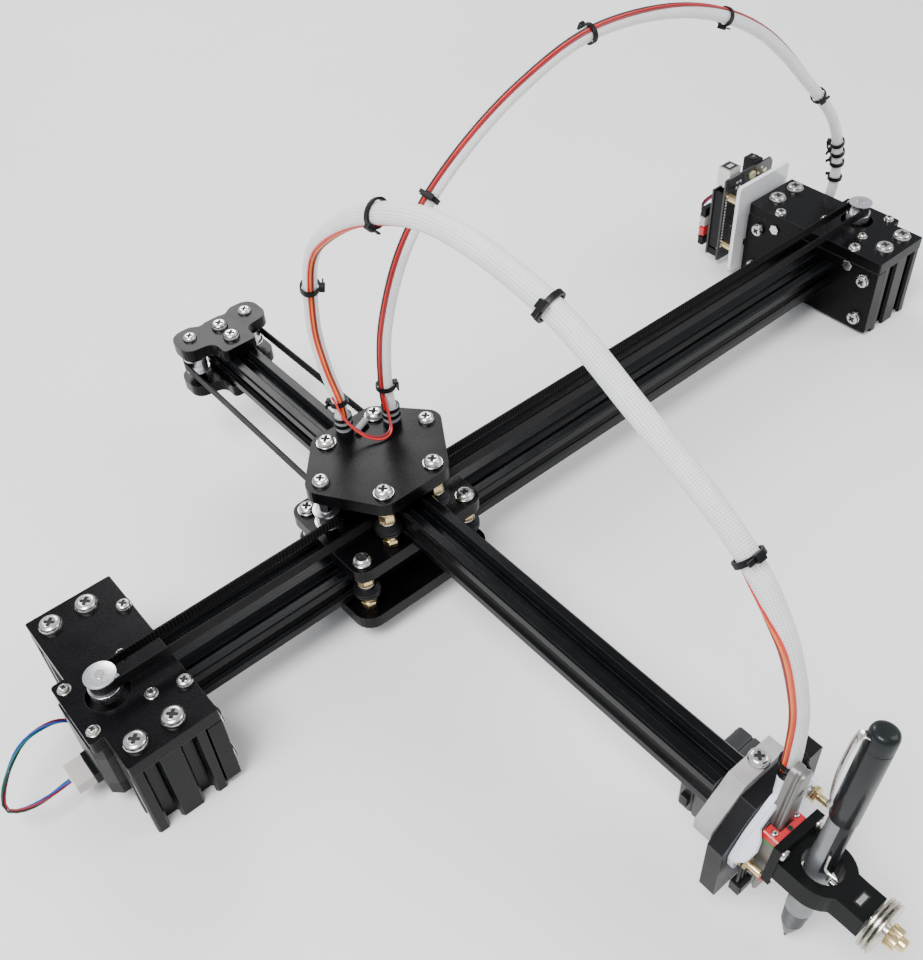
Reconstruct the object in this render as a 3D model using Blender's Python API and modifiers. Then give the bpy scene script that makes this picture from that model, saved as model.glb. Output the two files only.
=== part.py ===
"""Desktop pen plotter: a fixed beam on two end brackets, a carriage that rolls along it, an arm that slides through
the carriage and a pen lift on the arm's end, all drawn by one toothed belt.

Sizes are millimetres, turned into metres where an object is made. X runs along the beam, Y along the arm with the
pen at its -Y end, and Z is up from the surface that the feet stand on."""

import math

import bmesh
import bpy
from mathutils import Matrix, Vector

MM = 0.001
GAP = 0.3

# Whole machine. The origin lies under the middle of its box, which isn't the beam's centre line.
BASE_CENTRE_Y = -75.75
MOTOR_X = 296.3
MOTOR_Y = -11.1
PLATE = 8.0

# End brackets: distances inwards from the motor's axis, and outwards from the beam's centre line.
DECK_TOP = 61.0
DECK_BOTTOM = DECK_TOP - PLATE
DECK_OUTER = -13.0
DECK_INNER = 35.0
DECK_HALF_LENGTH = 56.0
EAR_OUTER = -20.4
EAR_HALF_WIDTH = 21.7
END_PLATE_OUTER = 27.0
END_PLATE_BOTTOM = 3.0
LEG_CENTRE = 6.8
LEG_Y = 45.6
CELL = 20.0
EDGE_SCREW_Y = 31.5

# V-slot profile of the beam, arm and legs: half widths of the slot and the depths where they change.
SLOT_MOUTH = 4.6
SLOT_NECK = 3.3
SLOT_ROOM = 5.5
SLOT_ROOT = 2.8
SLOT_LIP = 1.8
SLOT_SHOULDER = 3.3
SLOT_DEPTH = 6.0
PROFILE_CHAMFER = 1.0

BEAM_END = MOTOR_X - DECK_INNER - GAP
BEAM_Z = 35.5

# Motors and drive pulleys.
MOTOR_WIDTH = 42.3
MOTOR_LENGTH = 40.0
MOTOR_CHAMFER = 4.5
BOSS_RADIUS = 11.0
BOSS_TOP = DECK_BOTTOM + 2.0
SHAFT_RADIUS = 2.5
PULLEY_RADIUS = 8.0
PULLEY_TOOTH_RADIUS = 5.5
PULLEY_PITCH_RADIUS = 6.37

# Belt: half its width, and its thickness.
BELT_Z = 71.3
BELT_HALF_WIDTH = 3.0
BELT_THICKNESS = 1.2
BELT_ARC_STEP = math.radians(12)
BELT_LAP = 1.0

# Carriage, measured from its own centre.
CARRIAGE_X = -118.7
MIDDLE_BOTTOM = 49.5
BOTTOM_BOTTOM = 13.0
TOP_BOTTOM = 88.0
X_AXLE = (35.7, 25.9)
Y_AXLE = (16.3, 25.8)
WING = (35.4, 3.6)
AXLE_RADIUS = 2.5
AXLE_HOLE = 2.8
WHEEL_RADIUS = 7.6
WHEEL_HALF_WIDTH = 4.4
WHEEL_BEVEL = 2.2
WHEEL_BELT_RADIUS = 8.4
IDLER_RADIUS = 6.5
IDLER_FLANGE = 7.5
IDLER_HALF_HEIGHT = 5.0
IDLER_BELT_RADIUS = 7.4
IDLER_PIN = 2.0
IDLER_BORE = 2.3

# Arm, measured from the carriage's centre.
ARM_FRONT = -242.6
ARM_REAR = 174.9
ARM_BOTTOM = 61.3
ARM_TOP = ARM_BOTTOM + CELL
REAR_IDLER = (19.9, 169.4)
REAR_SCREWS = (166.9, 152.9)
BELT_END = ARM_FRONT + 0.5

# Sleeve round the cables that arch over the machine, and the left motor's lead.
CABLE_RADIUS = 3.6
PLUG_LENGTH = 9.5
PLUG_HALF_WIDTH = 8.0
LEAD_RADIUS = 1.2

# Head on the arm's front end, stacked towards -Y.
BRACKET_BACK = ARM_FRONT - GAP
BRACKET_FRONT = BRACKET_BACK - 9.2
HEAD_PLATE_BACK = BRACKET_FRONT - GAP
HEAD_PLATE_FRONT = HEAD_PLATE_BACK - PLATE
BACKING_BACK = HEAD_PLATE_FRONT - GAP
BACKING_FRONT = BACKING_BACK - 2.9
RAIL_BACK = BACKING_FRONT - GAP
RAIL_FRONT = RAIL_BACK - 6.5
BLOCK_BACK = RAIL_BACK - 2.0
BLOCK_FRONT = BLOCK_BACK - 8.0
HOLDER_BACK = BLOCK_FRONT - GAP
HOLDER_FRONT = HOLDER_BACK - 4.0
RING_Y = HOLDER_FRONT - 12.2
PEN_Y = RING_Y + 1.4
NOSE_FRONT = RING_Y - 25.0

SLEEVE_FOOT_Y = RAIL_BACK + CABLE_RADIUS + 0.4
SLEEVE_FOOT_Z = 80.6
SERVO_X = 13.9
SERVO_Z = DECK_TOP - 14.0
SERVO_SIZE = (40.4, 36.0, 20.0)
HORN_X = SERVO_X + 10.0
HORN_REACH = 14.0
HORN_REST = math.radians(-14)

# The lift's own frame: its axis leans towards +X and passes this point beside the arm's centre line.
LIFT_LEAN = math.radians(9.5)
LIFT_X = 5.0
LIFT_Z = DECK_TOP
RAIL_LOW = -40.0
RAIL_HIGH = 40.0
BLOCK_LOW = -24.0
BLOCK_HIGH = 5.0
PEG_X = 8.2
PEG_Z = BLOCK_LOW + 13.0
RING_LOW = -10.0
RING_HIGH = 0.5
PEN_TIP = -56.5
PEN_TOP = 88.0
PEN_RADIUS = 6.0
THUMB_Z = -4.8

# Controller behind the right rear leg.
BOARD_LEFT = 252.9
BOARD_SIZE = (53.3, 68.6)
BOARD_TOP = DECK_TOP + 14.0
BOARD_Y = 73.2
BOARD_THICKNESS = 1.6
MOUNT_Y = 59.0
MOUNT_THICKNESS = 3.0


FINISHES = {
    "black_plate": ((0.016, 0.016, 0.018), 0.42, 0.0),
    "black_profile": ((0.012, 0.012, 0.013), 0.35, 0.6),
    "grey_bracket": ((0.34, 0.32, 0.32), 0.5, 0.1),
    "dark_plate": ((0.03, 0.03, 0.032), 0.45, 0.0),
    "motor_black": ((0.02, 0.02, 0.022), 0.4, 0.5),
    "pulley_metal": ((0.72, 0.72, 0.74), 0.3, 1.0),
    "axle_metal": ((0.62, 0.62, 0.64), 0.3, 1.0),
    "wheel_black": ((0.02, 0.02, 0.02), 0.5, 0.0),
    "belt_rubber": ((0.015, 0.015, 0.016), 0.7, 0.0),
    "white_plastic": ((0.82, 0.84, 0.9), 0.35, 0.0),
    "white_acrylic": ((0.85, 0.85, 0.86), 0.25, 0.0),
    "board_black": ((0.01, 0.012, 0.012), 0.4, 0.0),
    "rail_steel": ((0.45, 0.44, 0.43), 0.35, 1.0),
    "block_red": ((0.55, 0.01, 0.02), 0.4, 0.0),
    "holder_black": ((0.014, 0.016, 0.016), 0.45, 0.0),
    "pen_black": ((0.03, 0.035, 0.036), 0.4, 0.0),
    "thumb_metal": ((0.66, 0.62, 0.5), 0.3, 1.0),
    "servo_black": ((0.015, 0.015, 0.016), 0.45, 0.0),
    "sleeve_white": ((0.75, 0.75, 0.74), 0.5, 0.0),
    "lead_insulation": ((0.3, 0.03, 0.03), 0.5, 0.0),
    "plug_white": ((0.8, 0.79, 0.75), 0.45, 0.0),
}


# Making objects


def clear_scene():
    for obj in list(bpy.data.objects):
        bpy.data.objects.remove(obj)


def make_collection(name):
    collection = bpy.data.collections.new(name)
    bpy.context.scene.collection.children.link(collection)
    return collection


def make_materials():
    for name, (colour, roughness, metallic) in FINISHES.items():
        material = bpy.data.materials.new(name)
        material.use_nodes = True
        shader = material.node_tree.nodes["Principled BSDF"]
        shader.inputs["Base Color"].default_value = (*colour, 1.0)
        shader.inputs["Roughness"].default_value = roughness
        shader.inputs["Metallic"].default_value = metallic
        material.diffuse_color = (*colour, 1.0)


def place(name, data, finish, origin=(0, 0, 0), parent=None):
    """Puts a mesh or curve in the scene as a sub-part whose origin is the given point."""
    obj = bpy.data.objects.new(name, data)
    data.materials.append(bpy.data.materials[finish])
    data.transform(Matrix.Translation(-Vector(origin) * MM))
    obj.location = Vector(origin) * MM
    obj.parent = parent
    PARTS.objects.link(obj)
    return obj


def apply_boolean(target, tool, operation):
    """Cuts the target with a tool, or joins the tool to it; the tool stays in the scene as a hidden guide."""
    PARTS.objects.unlink(tool)
    CUTTERS.objects.link(tool)
    tool.hide_render = True
    tool.display_type = "WIRE"
    modifier = target.modifiers.new(f"{operation.lower()} {tool.name}", "BOOLEAN")
    modifier.operation = operation
    modifier.object = tool


def join(target, tool):
    apply_boolean(target, tool, "UNION")


def cut(target, tool):
    apply_boolean(target, tool, "DIFFERENCE")


def mesh_from(shape):
    """Turns a filled bmesh into a mesh in metres."""
    shape.transform(Matrix.Scale(MM, 4))
    mesh = bpy.data.meshes.new("shape")
    shape.to_mesh(mesh)
    shape.free()
    return mesh


def add_box(shape, low, high):
    low, high = Vector(low), Vector(high)
    size = Matrix.Diagonal((*(high - low), 1.0))
    bmesh.ops.create_cube(shape, size=1.0, matrix=Matrix.Translation((low + high) / 2) @ size)


def add_rod(shape, start, end, radius, sides=10):
    start, end = Vector(start), Vector(end)
    turn = (end - start).to_track_quat("Z", "Y").to_matrix().to_4x4()
    bmesh.ops.create_cone(
        shape, cap_ends=True, segments=sides, radius1=radius, radius2=radius, depth=(end - start).length,
        matrix=Matrix.Translation((start + end) / 2) @ turn,
    )


def box(name, low, high, finish, **placing):
    shape = bmesh.new()
    add_box(shape, low, high)
    return place(name, mesh_from(shape), finish, **placing)


def rods(name, ends, radius, finish, sides=10, **placing):
    """Makes one object of several like rods, each given by its two ends."""
    shape = bmesh.new()
    for start, end in ends:
        add_rod(shape, start, end, radius, sides)
    return place(name, mesh_from(shape), finish, **placing)


def mesh_of_curve(curve):
    """Turns a curve into a closed mesh, because a curve can't be cut or joined."""
    guide = bpy.data.objects.new("guide", curve)
    bpy.context.scene.collection.objects.link(guide)
    evaluated = guide.evaluated_get(bpy.context.evaluated_depsgraph_get())
    mesh = bpy.data.meshes.new_from_object(evaluated)
    bpy.data.objects.remove(guide)
    shape = bmesh.new()
    shape.from_mesh(mesh)
    bmesh.ops.remove_doubles(shape, verts=shape.verts, dist=1e-6)
    bmesh.ops.recalc_face_normals(shape, faces=shape.faces)
    shape.to_mesh(mesh)
    shape.free()
    return mesh


def plate(name, outlines, normal, low, high, finish, **placing):
    """Makes a flat plate from its outer outline and its holes. Normal Z takes (x, y) points, Y takes (x, z) and X
    takes (y, z), and the plate runs from low to high along that axis."""
    curve = bpy.data.curves.new("outline", "CURVE")
    curve.dimensions = "2D"
    curve.fill_mode = "BOTH"
    curve.extrude = (high - low) / 2 * MM
    for outline in outlines:
        spline = curve.splines.new("POLY")
        spline.points.add(len(outline) - 1)
        for point, (u, v) in zip(spline.points, outline):
            point.co = (u * MM, v * MM, 0, 1)
        spline.use_cyclic_u = True
    mesh = mesh_of_curve(curve)
    quarter = math.pi / 2
    turns = {
        "Z": Matrix.Identity(4),
        "Y": Matrix.Rotation(quarter, 4, "X"),
        "X": Matrix.Rotation(quarter, 4, "Z") @ Matrix.Rotation(quarter, 4, "X"),
    }
    middle = Vector([(high + low) / 2 * MM if axis == normal else 0 for axis in "XYZ"])
    mesh.transform(Matrix.Translation(middle) @ turns[normal])
    return place(name, mesh, finish, **placing)


def turned(name, profile, centre, finish, axis="Z", steps=16, closed=False, parent=None):
    """Turns a profile of (radius, height) points about an axis through the centre. The profile runs from the top
    down the outside; a closed one is a ring that runs back up its bore."""
    mesh = bpy.data.meshes.new(name)
    points = [(radius * MM, 0, height * MM) for radius, height in profile]
    edges = [(i, i + 1) for i in range(len(points) - 1)]
    if closed:
        edges.append((len(points) - 1, 0))
    mesh.from_pydata(points, edges, [])
    obj = place(name, mesh, finish, parent=parent)
    obj.location = Vector(centre) * MM
    obj.rotation_euler = {"Z": (0, 0, 0), "-Y": (math.pi / 2, 0, 0)}[axis]
    screw = obj.modifiers.new("turn", "SCREW")
    screw.steps = screw.render_steps = steps
    screw.use_merge_vertices = True
    screw.merge_threshold = 1e-5
    screw.use_smooth_shade = False
    return obj


def stepped(top, sections):
    """Profile of a stack of cylinders, each (radius, height of its lower end), from the top down."""
    points = [(0, top)]
    height = top
    for radius, bottom in sections:
        points += [(radius, height), (radius, bottom)]
        height = bottom
    return points + [(0, height)]


# Outlines


def arc(centre, radius, start, end, segments):
    """Points on an arc between two angles in degrees."""
    angles = [math.radians(start + (end - start) * i / segments) for i in range(segments + 1)]
    return [(centre[0] + radius * math.cos(a), centre[1] + radius * math.sin(a)) for a in angles]


def circle(x, y, radius, sides=12):
    return arc((x, y), radius, 0, 360 - 360 / sides, sides - 1)


def rounded(corners, segments=4):
    """Closed outline through corners (x, y, radius), each turned into an arc of its radius."""
    points = []
    for i, (x, y, radius) in enumerate(corners):
        here = Vector((x, y))
        if radius == 0:
            points.append((x, y))
            continue
        before = (Vector(corners[i - 1][:2]) - here).normalized()
        after = (Vector(corners[(i + 1) % len(corners)][:2]) - here).normalized()
        half = before.angle(after) / 2
        centre = here + (before + after).normalized() * radius / math.sin(half)
        start = here + before * radius / math.tan(half) - centre
        sweep = start.angle_signed(here + after * radius / math.tan(half) - centre)
        for step in range(segments + 1):
            angle = -sweep * step / segments
            spoke = Matrix.Rotation(angle, 2) @ start
            points.append((centre.x + spoke.x, centre.y + spoke.y))
    return points


def padded(points, radius, segments=5):
    """Outline at a distance around a convex polygon given anticlockwise, as a plate keeps around its screws."""
    outline = []
    for i, (x, y) in enumerate(points):
        before = Vector((x, y)) - Vector(points[i - 1])
        after = Vector(points[(i + 1) % len(points)]) - Vector((x, y))
        start = math.degrees(math.atan2(before.y, before.x)) - 90
        turn = math.degrees(math.atan2(after.y, after.x)) - 90 - start
        outline += arc((x, y), radius, start, start + turn % 360, segments)
    return outline


def profile_outline(width, height, centre=(0, 0)):
    """Outline of a V-slot profile with one slot per cell on each side."""
    notch = [
        (-SLOT_MOUTH, 0), (-SLOT_NECK, SLOT_LIP), (-SLOT_ROOM, SLOT_LIP), (-SLOT_ROOM, SLOT_SHOULDER),
        (-SLOT_ROOT, SLOT_DEPTH), (SLOT_ROOT, SLOT_DEPTH),
        (SLOT_ROOM, SLOT_SHOULDER), (SLOT_ROOM, SLOT_LIP), (SLOT_NECK, SLOT_LIP), (SLOT_MOUTH, 0),
    ]
    points = []
    for side in range(4):
        length, across = (width, height) if side % 2 == 0 else (height, width)
        turn = Matrix.Rotation(side * math.pi / 2, 2)
        slots = [CELL * (i + 0.5) - length / 2 for i in range(round(length / CELL))]
        run = [(-length / 2 + PROFILE_CHAMFER, 0)]
        run += [(slot + along, depth) for slot in slots for along, depth in notch]
        run += [(length / 2 - PROFILE_CHAMFER, 0)]
        for along, depth in run:
            point = turn @ Vector((along, depth - across / 2))
            points.append((point.x + centre[0], point.y + centre[1]))
    return points


def corners_of(half_x, half_y):
    """The four corners of a rectangle about the carriage's centre, anticlockwise."""
    return [(-half_x, -half_y), (half_x, -half_y), (half_x, half_y), (-half_x, half_y)]


def on_carriage(x, y):
    return x + CARRIAGE_X, y


# End brackets


def inward(side, distance):
    """X of a point at a distance inwards from a motor's axis; side is -1 on the left and 1 on the right."""
    return side * (MOTOR_X - distance)


def bracket_deck(side, label):
    edge = [
        (DECK_OUTER, -DECK_HALF_LENGTH, 1), (DECK_INNER, -DECK_HALF_LENGTH, 1),
        (DECK_INNER, DECK_HALF_LENGTH, 1), (DECK_OUTER, DECK_HALF_LENGTH, 1),
        (DECK_OUTER, MOTOR_Y + EAR_HALF_WIDTH, 0), (EAR_OUTER, MOTOR_Y + EAR_HALF_WIDTH, 2),
        (EAR_OUTER, MOTOR_Y - EAR_HALF_WIDTH, 2), (DECK_OUTER, MOTOR_Y - EAR_HALF_WIDTH, 0),
    ]
    outline = [(inward(side, a), y) for a, y in rounded(edge, 3)]
    boss_hole = circle(inward(side, 0), MOTOR_Y, BOSS_RADIUS + GAP, 20)
    deck = plate(f"bracket_deck_{label}", [outline, boss_hole], "Z", DECK_BOTTOM, DECK_TOP, "black_plate")
    large = [(LEG_CENTRE + a, y) for a in (-CELL / 2, CELL / 2) for y in (-LEG_Y, LEG_Y)]
    small = [((END_PLATE_OUTER + DECK_INNER) / 2, y) for y in (-EDGE_SCREW_Y, EDGE_SCREW_Y)]
    for size, spots, radius, height in (("m5", large, 5.9, 2.6), ("m4", small, 3.9, 2.2)):
        ends = [
            ((inward(side, a), y, DECK_TOP - 1), (inward(side, a), y, DECK_TOP + height)) for a, y in spots
        ]
        join(deck, rods(f"deck_{size}_heads_{label}", ends, radius, "axle_metal"))


def bracket_end_plate(side, label):
    top = DECK_BOTTOM - GAP
    half = DECK_HALF_LENGTH
    bump = [(half, 30.5, 0), (half + 1.5, 29.5, 0), (half + 1.5, 25.5, 0), (half, 24.5, 0)]
    edge = [(-half, END_PLATE_BOTTOM, 2), (half, END_PLATE_BOTTOM, 2), *reversed(bump), (half, top, 1), (-half, top, 1)]
    low, high = sorted((inward(side, END_PLATE_OUTER), inward(side, DECK_INNER)))
    end_plate = plate(f"bracket_end_plate_{label}", [rounded(edge, 3)], "X", low, high, "black_plate")
    leg_heads = [
        ((inward(side, DECK_INNER - 1), y, z), (inward(side, DECK_INNER + 2.6), y, z))
        for y in (-LEG_Y, LEG_Y) for z in (12.0, 43.3)
    ]
    join(end_plate, rods(f"end_plate_leg_heads_{label}", leg_heads, 4.9, "axle_metal"))
    beam_heads = [
        ((inward(side, END_PLATE_OUTER + 1), y, BEAM_Z), (inward(side, END_PLATE_OUTER - 2.6), y, BEAM_Z))
        for y in (-CELL / 2, CELL / 2)
    ]
    join(end_plate, rods(f"end_plate_beam_heads_{label}", beam_heads, 4.9, "axle_metal"))


def legs(side, label):
    for end, y in (("front", -LEG_Y), ("rear", LEG_Y)):
        outline = profile_outline(2 * CELL, CELL, (inward(side, LEG_CENTRE), y))
        plate(f"leg_{label}_{end}", [outline], "Z", 0.0, DECK_BOTTOM - GAP, "black_profile")


def motor(side, label):
    half = MOTOR_WIDTH / 2
    x = inward(side, 0)
    corners = [(x + u, MOTOR_Y + v, MOTOR_CHAMFER) for u, v in corners_of(half, half)]
    top = DECK_BOTTOM - GAP
    body = plate(f"motor_{label}", [rounded(corners, 1)], "Z", top - MOTOR_LENGTH, top, "motor_black")
    join(body, rods(f"motor_boss_{label}", [((x, MOTOR_Y, top - 2), (x, MOTOR_Y, BOSS_TOP))], BOSS_RADIUS,
                    "motor_black", 20))
    socket = (inward(side, -half - 3.0), inward(side, -half + 3.0))
    join(body, box(f"motor_socket_{label}", (min(socket), MOTOR_Y - 8.5, top - MOTOR_LENGTH + 1.5),
                   (max(socket), MOTOR_Y + 8.5, top - MOTOR_LENGTH + 8.5), "motor_black"))


def drive_pulley(side, label):
    """Toothed pulley and the visible end of the motor's shaft, which turn as one."""
    base = DECK_TOP
    profile = stepped(base + 15.4, [
        (SHAFT_RADIUS, base + 14.7), (PULLEY_RADIUS, base + 13.7), (PULLEY_TOOTH_RADIUS, base + 6.9),
        (PULLEY_RADIUS, base + 0.5), (SHAFT_RADIUS, BOSS_TOP + GAP),
    ])
    turned(f"drive_pulley_{label}", [(r, z - BELT_Z) for r, z in profile],
           (inward(side, 0), MOTOR_Y, BELT_Z), "pulley_metal")


def beam():
    outline = profile_outline(2 * CELL, CELL, (0, BEAM_Z))
    plate("x_beam", [outline], "X", -BEAM_END, BEAM_END, "black_profile")


# Carriage


def carriage_plates():
    x_holes = [circle(*on_carriage(x, y), AXLE_HOLE) for x, y in corners_of(*X_AXLE)]
    y_holes = [circle(*on_carriage(x, y), AXLE_HOLE) for x, y in corners_of(*Y_AXLE)]
    lower = padded([on_carriage(x, y) for x, y in corners_of(*X_AXLE)], 10.3)
    plate("carriage_bottom_plate", [lower, *x_holes], "Z", BOTTOM_BOTTOM, BOTTOM_BOTTOM + PLATE, "black_plate")
    middle = padded([on_carriage(x, y) for x, y in corners_of(*X_AXLE)], 8.0)
    plate("carriage_middle_plate", [middle, *x_holes, *y_holes], "Z", MIDDLE_BOTTOM, MIDDLE_BOTTOM + PLATE,
          "black_plate")
    hexagon = [
        (-Y_AXLE[0], -Y_AXLE[1]), (Y_AXLE[0], -Y_AXLE[1]), (WING[0], WING[1]), (Y_AXLE[0], Y_AXLE[1]),
        (-Y_AXLE[0], Y_AXLE[1]), (-WING[0], WING[1]),
    ]
    upper = padded([on_carriage(x, y) for x, y in hexagon], 8.5)
    top = plate("carriage_top_plate", [upper, *y_holes], "Z", TOP_BOTTOM, TOP_BOTTOM + PLATE, "black_plate")
    pin = stepped(TOP_BOTTOM + PLATE + 2.3, [
        (4.4, TOP_BOTTOM + PLATE - 1), (3.6, BELT_Z + IDLER_HALF_HEIGHT + GAP),
        (IDLER_PIN, BELT_Z - IDLER_HALF_HEIGHT - GAP), (3.6, MIDDLE_BOTTOM + PLATE + GAP),
    ])
    for label, x in (("left", -WING[0]), ("right", WING[0])):
        join(top, turned(f"wing_pin_{label}", pin, (*on_carriage(x, WING[1]), 0), "axle_metal", steps=10))


def x_axles_and_wheels():
    """Four bolts that clamp the lower two plates around spacers and wheels, which run in the beam's side slots."""
    bolt = stepped(MIDDLE_BOTTOM + PLATE + GAP + 2.6, [
        (5.2, MIDDLE_BOTTOM + PLATE + GAP), (AXLE_RADIUS, MIDDLE_BOTTOM - GAP),
        (5.0, BEAM_Z + WHEEL_HALF_WIDTH + GAP), (AXLE_RADIUS, BEAM_Z - WHEEL_HALF_WIDTH - GAP),
        (4.2, BOTTOM_BOTTOM + PLATE + GAP), (AXLE_RADIUS, BOTTOM_BOTTOM - GAP),
        (4.4, BOTTOM_BOTTOM - GAP - 4.0), (AXLE_RADIUS, BOTTOM_BOTTOM - 6.2),
    ])
    for label, (x, y) in zip(("front_left", "front_right", "rear_right", "rear_left"), corners_of(*X_AXLE)):
        centre = (*on_carriage(x, y), BEAM_Z)
        turned(f"x_axle_{label}", [(r, z - BEAM_Z) for r, z in bolt], centre, "axle_metal", steps=9)
        wheel(f"x_wheel_{label}", centre)


def y_axles_and_wheels():
    """Four bolts from the top plate to the middle plate, with wheels that run in the arm's side slots."""
    bolt = stepped(TOP_BOTTOM + PLATE + GAP + 2.6, [
        (5.2, TOP_BOTTOM + PLATE + GAP), (AXLE_RADIUS, TOP_BOTTOM - GAP),
        (5.0, BELT_Z + WHEEL_HALF_WIDTH + GAP), (AXLE_RADIUS, BELT_Z - WHEEL_HALF_WIDTH - GAP),
        (4.2, MIDDLE_BOTTOM + PLATE + GAP), (AXLE_RADIUS, MIDDLE_BOTTOM - GAP),
        (4.4, MIDDLE_BOTTOM - 4.0), (AXLE_RADIUS, MIDDLE_BOTTOM - 5.5),
    ])
    for label, (x, y) in zip(("front_left", "front_right", "rear_right", "rear_left"), corners_of(*Y_AXLE)):
        centre = (*on_carriage(x, y), BELT_Z)
        turned(f"y_axle_{label}", [(r, z - BELT_Z) for r, z in bolt], centre, "axle_metal", steps=9)
        wheel(f"y_wheel_{label}", centre)


def wheel(name, centre):
    half, bevel = WHEEL_HALF_WIDTH, WHEEL_BEVEL
    profile = [
        (AXLE_HOLE, half), (WHEEL_RADIUS - bevel, half), (WHEEL_RADIUS, half - bevel),
        (WHEEL_RADIUS, bevel - half), (WHEEL_RADIUS - bevel, -half), (AXLE_HOLE, -half),
    ]
    turned(name, profile, centre, "wheel_black", closed=True)


def idler(name, centre):
    """Pair of flanged bearings that the belt runs round."""
    half, rim = IDLER_HALF_HEIGHT, IDLER_HALF_HEIGHT - 1.0
    profile = [
        (IDLER_BORE, half), (IDLER_FLANGE, half), (IDLER_FLANGE, rim), (IDLER_RADIUS, rim),
        (IDLER_RADIUS, -rim), (IDLER_FLANGE, -rim), (IDLER_FLANGE, -half), (IDLER_BORE, -half),
    ]
    turned(name, profile, centre, "axle_metal", closed=True)


def idlers():
    for label, side in (("left", -1), ("right", 1)):
        idler(f"wing_idler_{label}", (*on_carriage(side * WING[0], WING[1]), BELT_Z))
        idler(f"rear_idler_{label}", (*on_carriage(side * REAR_IDLER[0], REAR_IDLER[1]), BELT_Z))


# Arm


def arm():
    outline = profile_outline(CELL, CELL, (CARRIAGE_X, ARM_BOTTOM + CELL / 2))
    plate("y_arm", [outline], "Y", ARM_FRONT, ARM_REAR, "black_profile")


def butterfly():
    """Outline of a rear plate: two ears for the idlers with a scalloped edge between them, and a foot as wide as
    the arm."""
    ear_x, ear_y = REAR_IDLER
    half = [(-11.5, 142.0, 3), (11.5, 142.0, 3), (11.5, 155.0, 6), (ear_x + 10.0, ear_y - 12.0, 8),
            (ear_x + 10.0, ear_y + 10.5, 9), (ear_x - 5.0, ear_y + 10.5, 5), (ear_x - 11.0, ear_y + 6.5, 5),
            (5.0, ear_y + 8.0, 4)]
    left = [(-x, y, r) for x, y, r in reversed(half[2:])]
    return rounded([(x + CARRIAGE_X, y, r) for x, y, r in half + left], 5)


def rear_plates():
    top = plate("rear_top_plate", [butterfly()], "Z", ARM_TOP + GAP, ARM_TOP + PLATE, "black_plate")
    heads = [
        ((*on_carriage(0, y), ARM_TOP + PLATE - 1), (*on_carriage(0, y), ARM_TOP + PLATE + 2.6))
        for y in REAR_SCREWS
    ]
    join(top, rods("rear_screw_heads", heads, 4.9, "axle_metal"))
    pin = stepped(ARM_TOP + 1, [
        (3.6, BELT_Z + IDLER_HALF_HEIGHT + GAP), (IDLER_PIN, BELT_Z - IDLER_HALF_HEIGHT - GAP),
        (3.6, ARM_BOTTOM),
    ])
    for label, side in (("left", -1), ("right", 1)):
        spot = on_carriage(side * REAR_IDLER[0], REAR_IDLER[1])
        join(top, turned(f"rear_pin_{label}", pin, (*spot, 0), "axle_metal", steps=10))
    plate("rear_bottom_plate", [butterfly()], "Z", ARM_BOTTOM - PLATE, ARM_BOTTOM - GAP, "black_plate")


# Head


def head_bracket():
    """Plate across the arm's front end, with one upper corner cut off."""
    edge = [(-20.0, SERVO_Z + 10.3, 1), (25.4, SERVO_Z + 10.3, 1), (25.4, 82.0, 1), (-1.6, 82.0, 1), (-20.0, 66.0, 1)]
    outline = rounded([(x + CARRIAGE_X, z, r) for x, z, r in edge], 2)
    bracket = plate("head_bracket", [outline], "Y", BRACKET_FRONT, BRACKET_BACK, "grey_bracket")
    x, y = on_carriage(12.4, (BRACKET_FRONT + BRACKET_BACK) / 2)
    join(bracket, rods("head_bracket_screw", [((x, y, 81), (x, y, 84.6))], 4.6, "axle_metal"))


def servo_window():
    half_x, half_z = SERVO_SIZE[0] / 2 + GAP, SERVO_SIZE[2] / 2 + GAP
    return [(x + SERVO_X + CARRIAGE_X, z + SERVO_Z) for x, z in corners_of(half_x, half_z)]


def head_plate():
    """Plate that carries the servo in a window and the lift in front."""
    edge = [(-22.0, 22.0, 2), (40.4, 22.0, 2), (40.4, 77.6, 1), (-4.0, 77.6, 1), (-22.0, 60.0, 1)]
    outline = rounded([(x + CARRIAGE_X, z, r) for x, z, r in edge], 2)
    plate("head_plate", [outline, servo_window()], "Y", HEAD_PLATE_FRONT, HEAD_PLATE_BACK, "dark_plate")


def backing_plate():
    """White plate behind the rail: a hump at the top that the sleeve is tied to, two feet with studs, a tail behind
    the rail's lower end and a window that the servo's horn swings in."""
    edge = [
        (-17.0, 45.0, 4), (-5.0, 45.0, 4), (-5.0, 22.5, 2), (8.0, 22.5, 2), (9.0, 29.0, 2), (32.0, 29.0, 4),
        (32.0, 40.0, 2), (39.5, 40.0, 4), (39.5, 54.0, 5), (31.0, 70.0, 6), (24.0, 80.0, 5), (4.0, 80.0, 7),
        (-10.0, 68.0, 8), (-18.0, 56.0, 6),
    ]
    window = [(5.5, 32.0, 1), (29.5, 32.0, 2), (29.5, 68.0, 2), (11.0, 68.0, 1)]
    outlines = [rounded([(x + CARRIAGE_X, z, r) for x, z, r in loop], 3) for loop in (edge, window)]
    backing = plate("lift_backing_plate", outlines, "Y", BACKING_FRONT, BACKING_BACK, "white_plastic")
    for label, x in (("left", -11.4), ("right", 35.6)):
        centre = (x + CARRIAGE_X, BACKING_FRONT, 49.7)
        stud = stepped(9.8, [(1.6, 2.4), (3.2, -1.5)])
        join(backing, turned(f"backing_stud_{label}", stud, centre, "thumb_metal", axis="-Y", steps=8))


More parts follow.
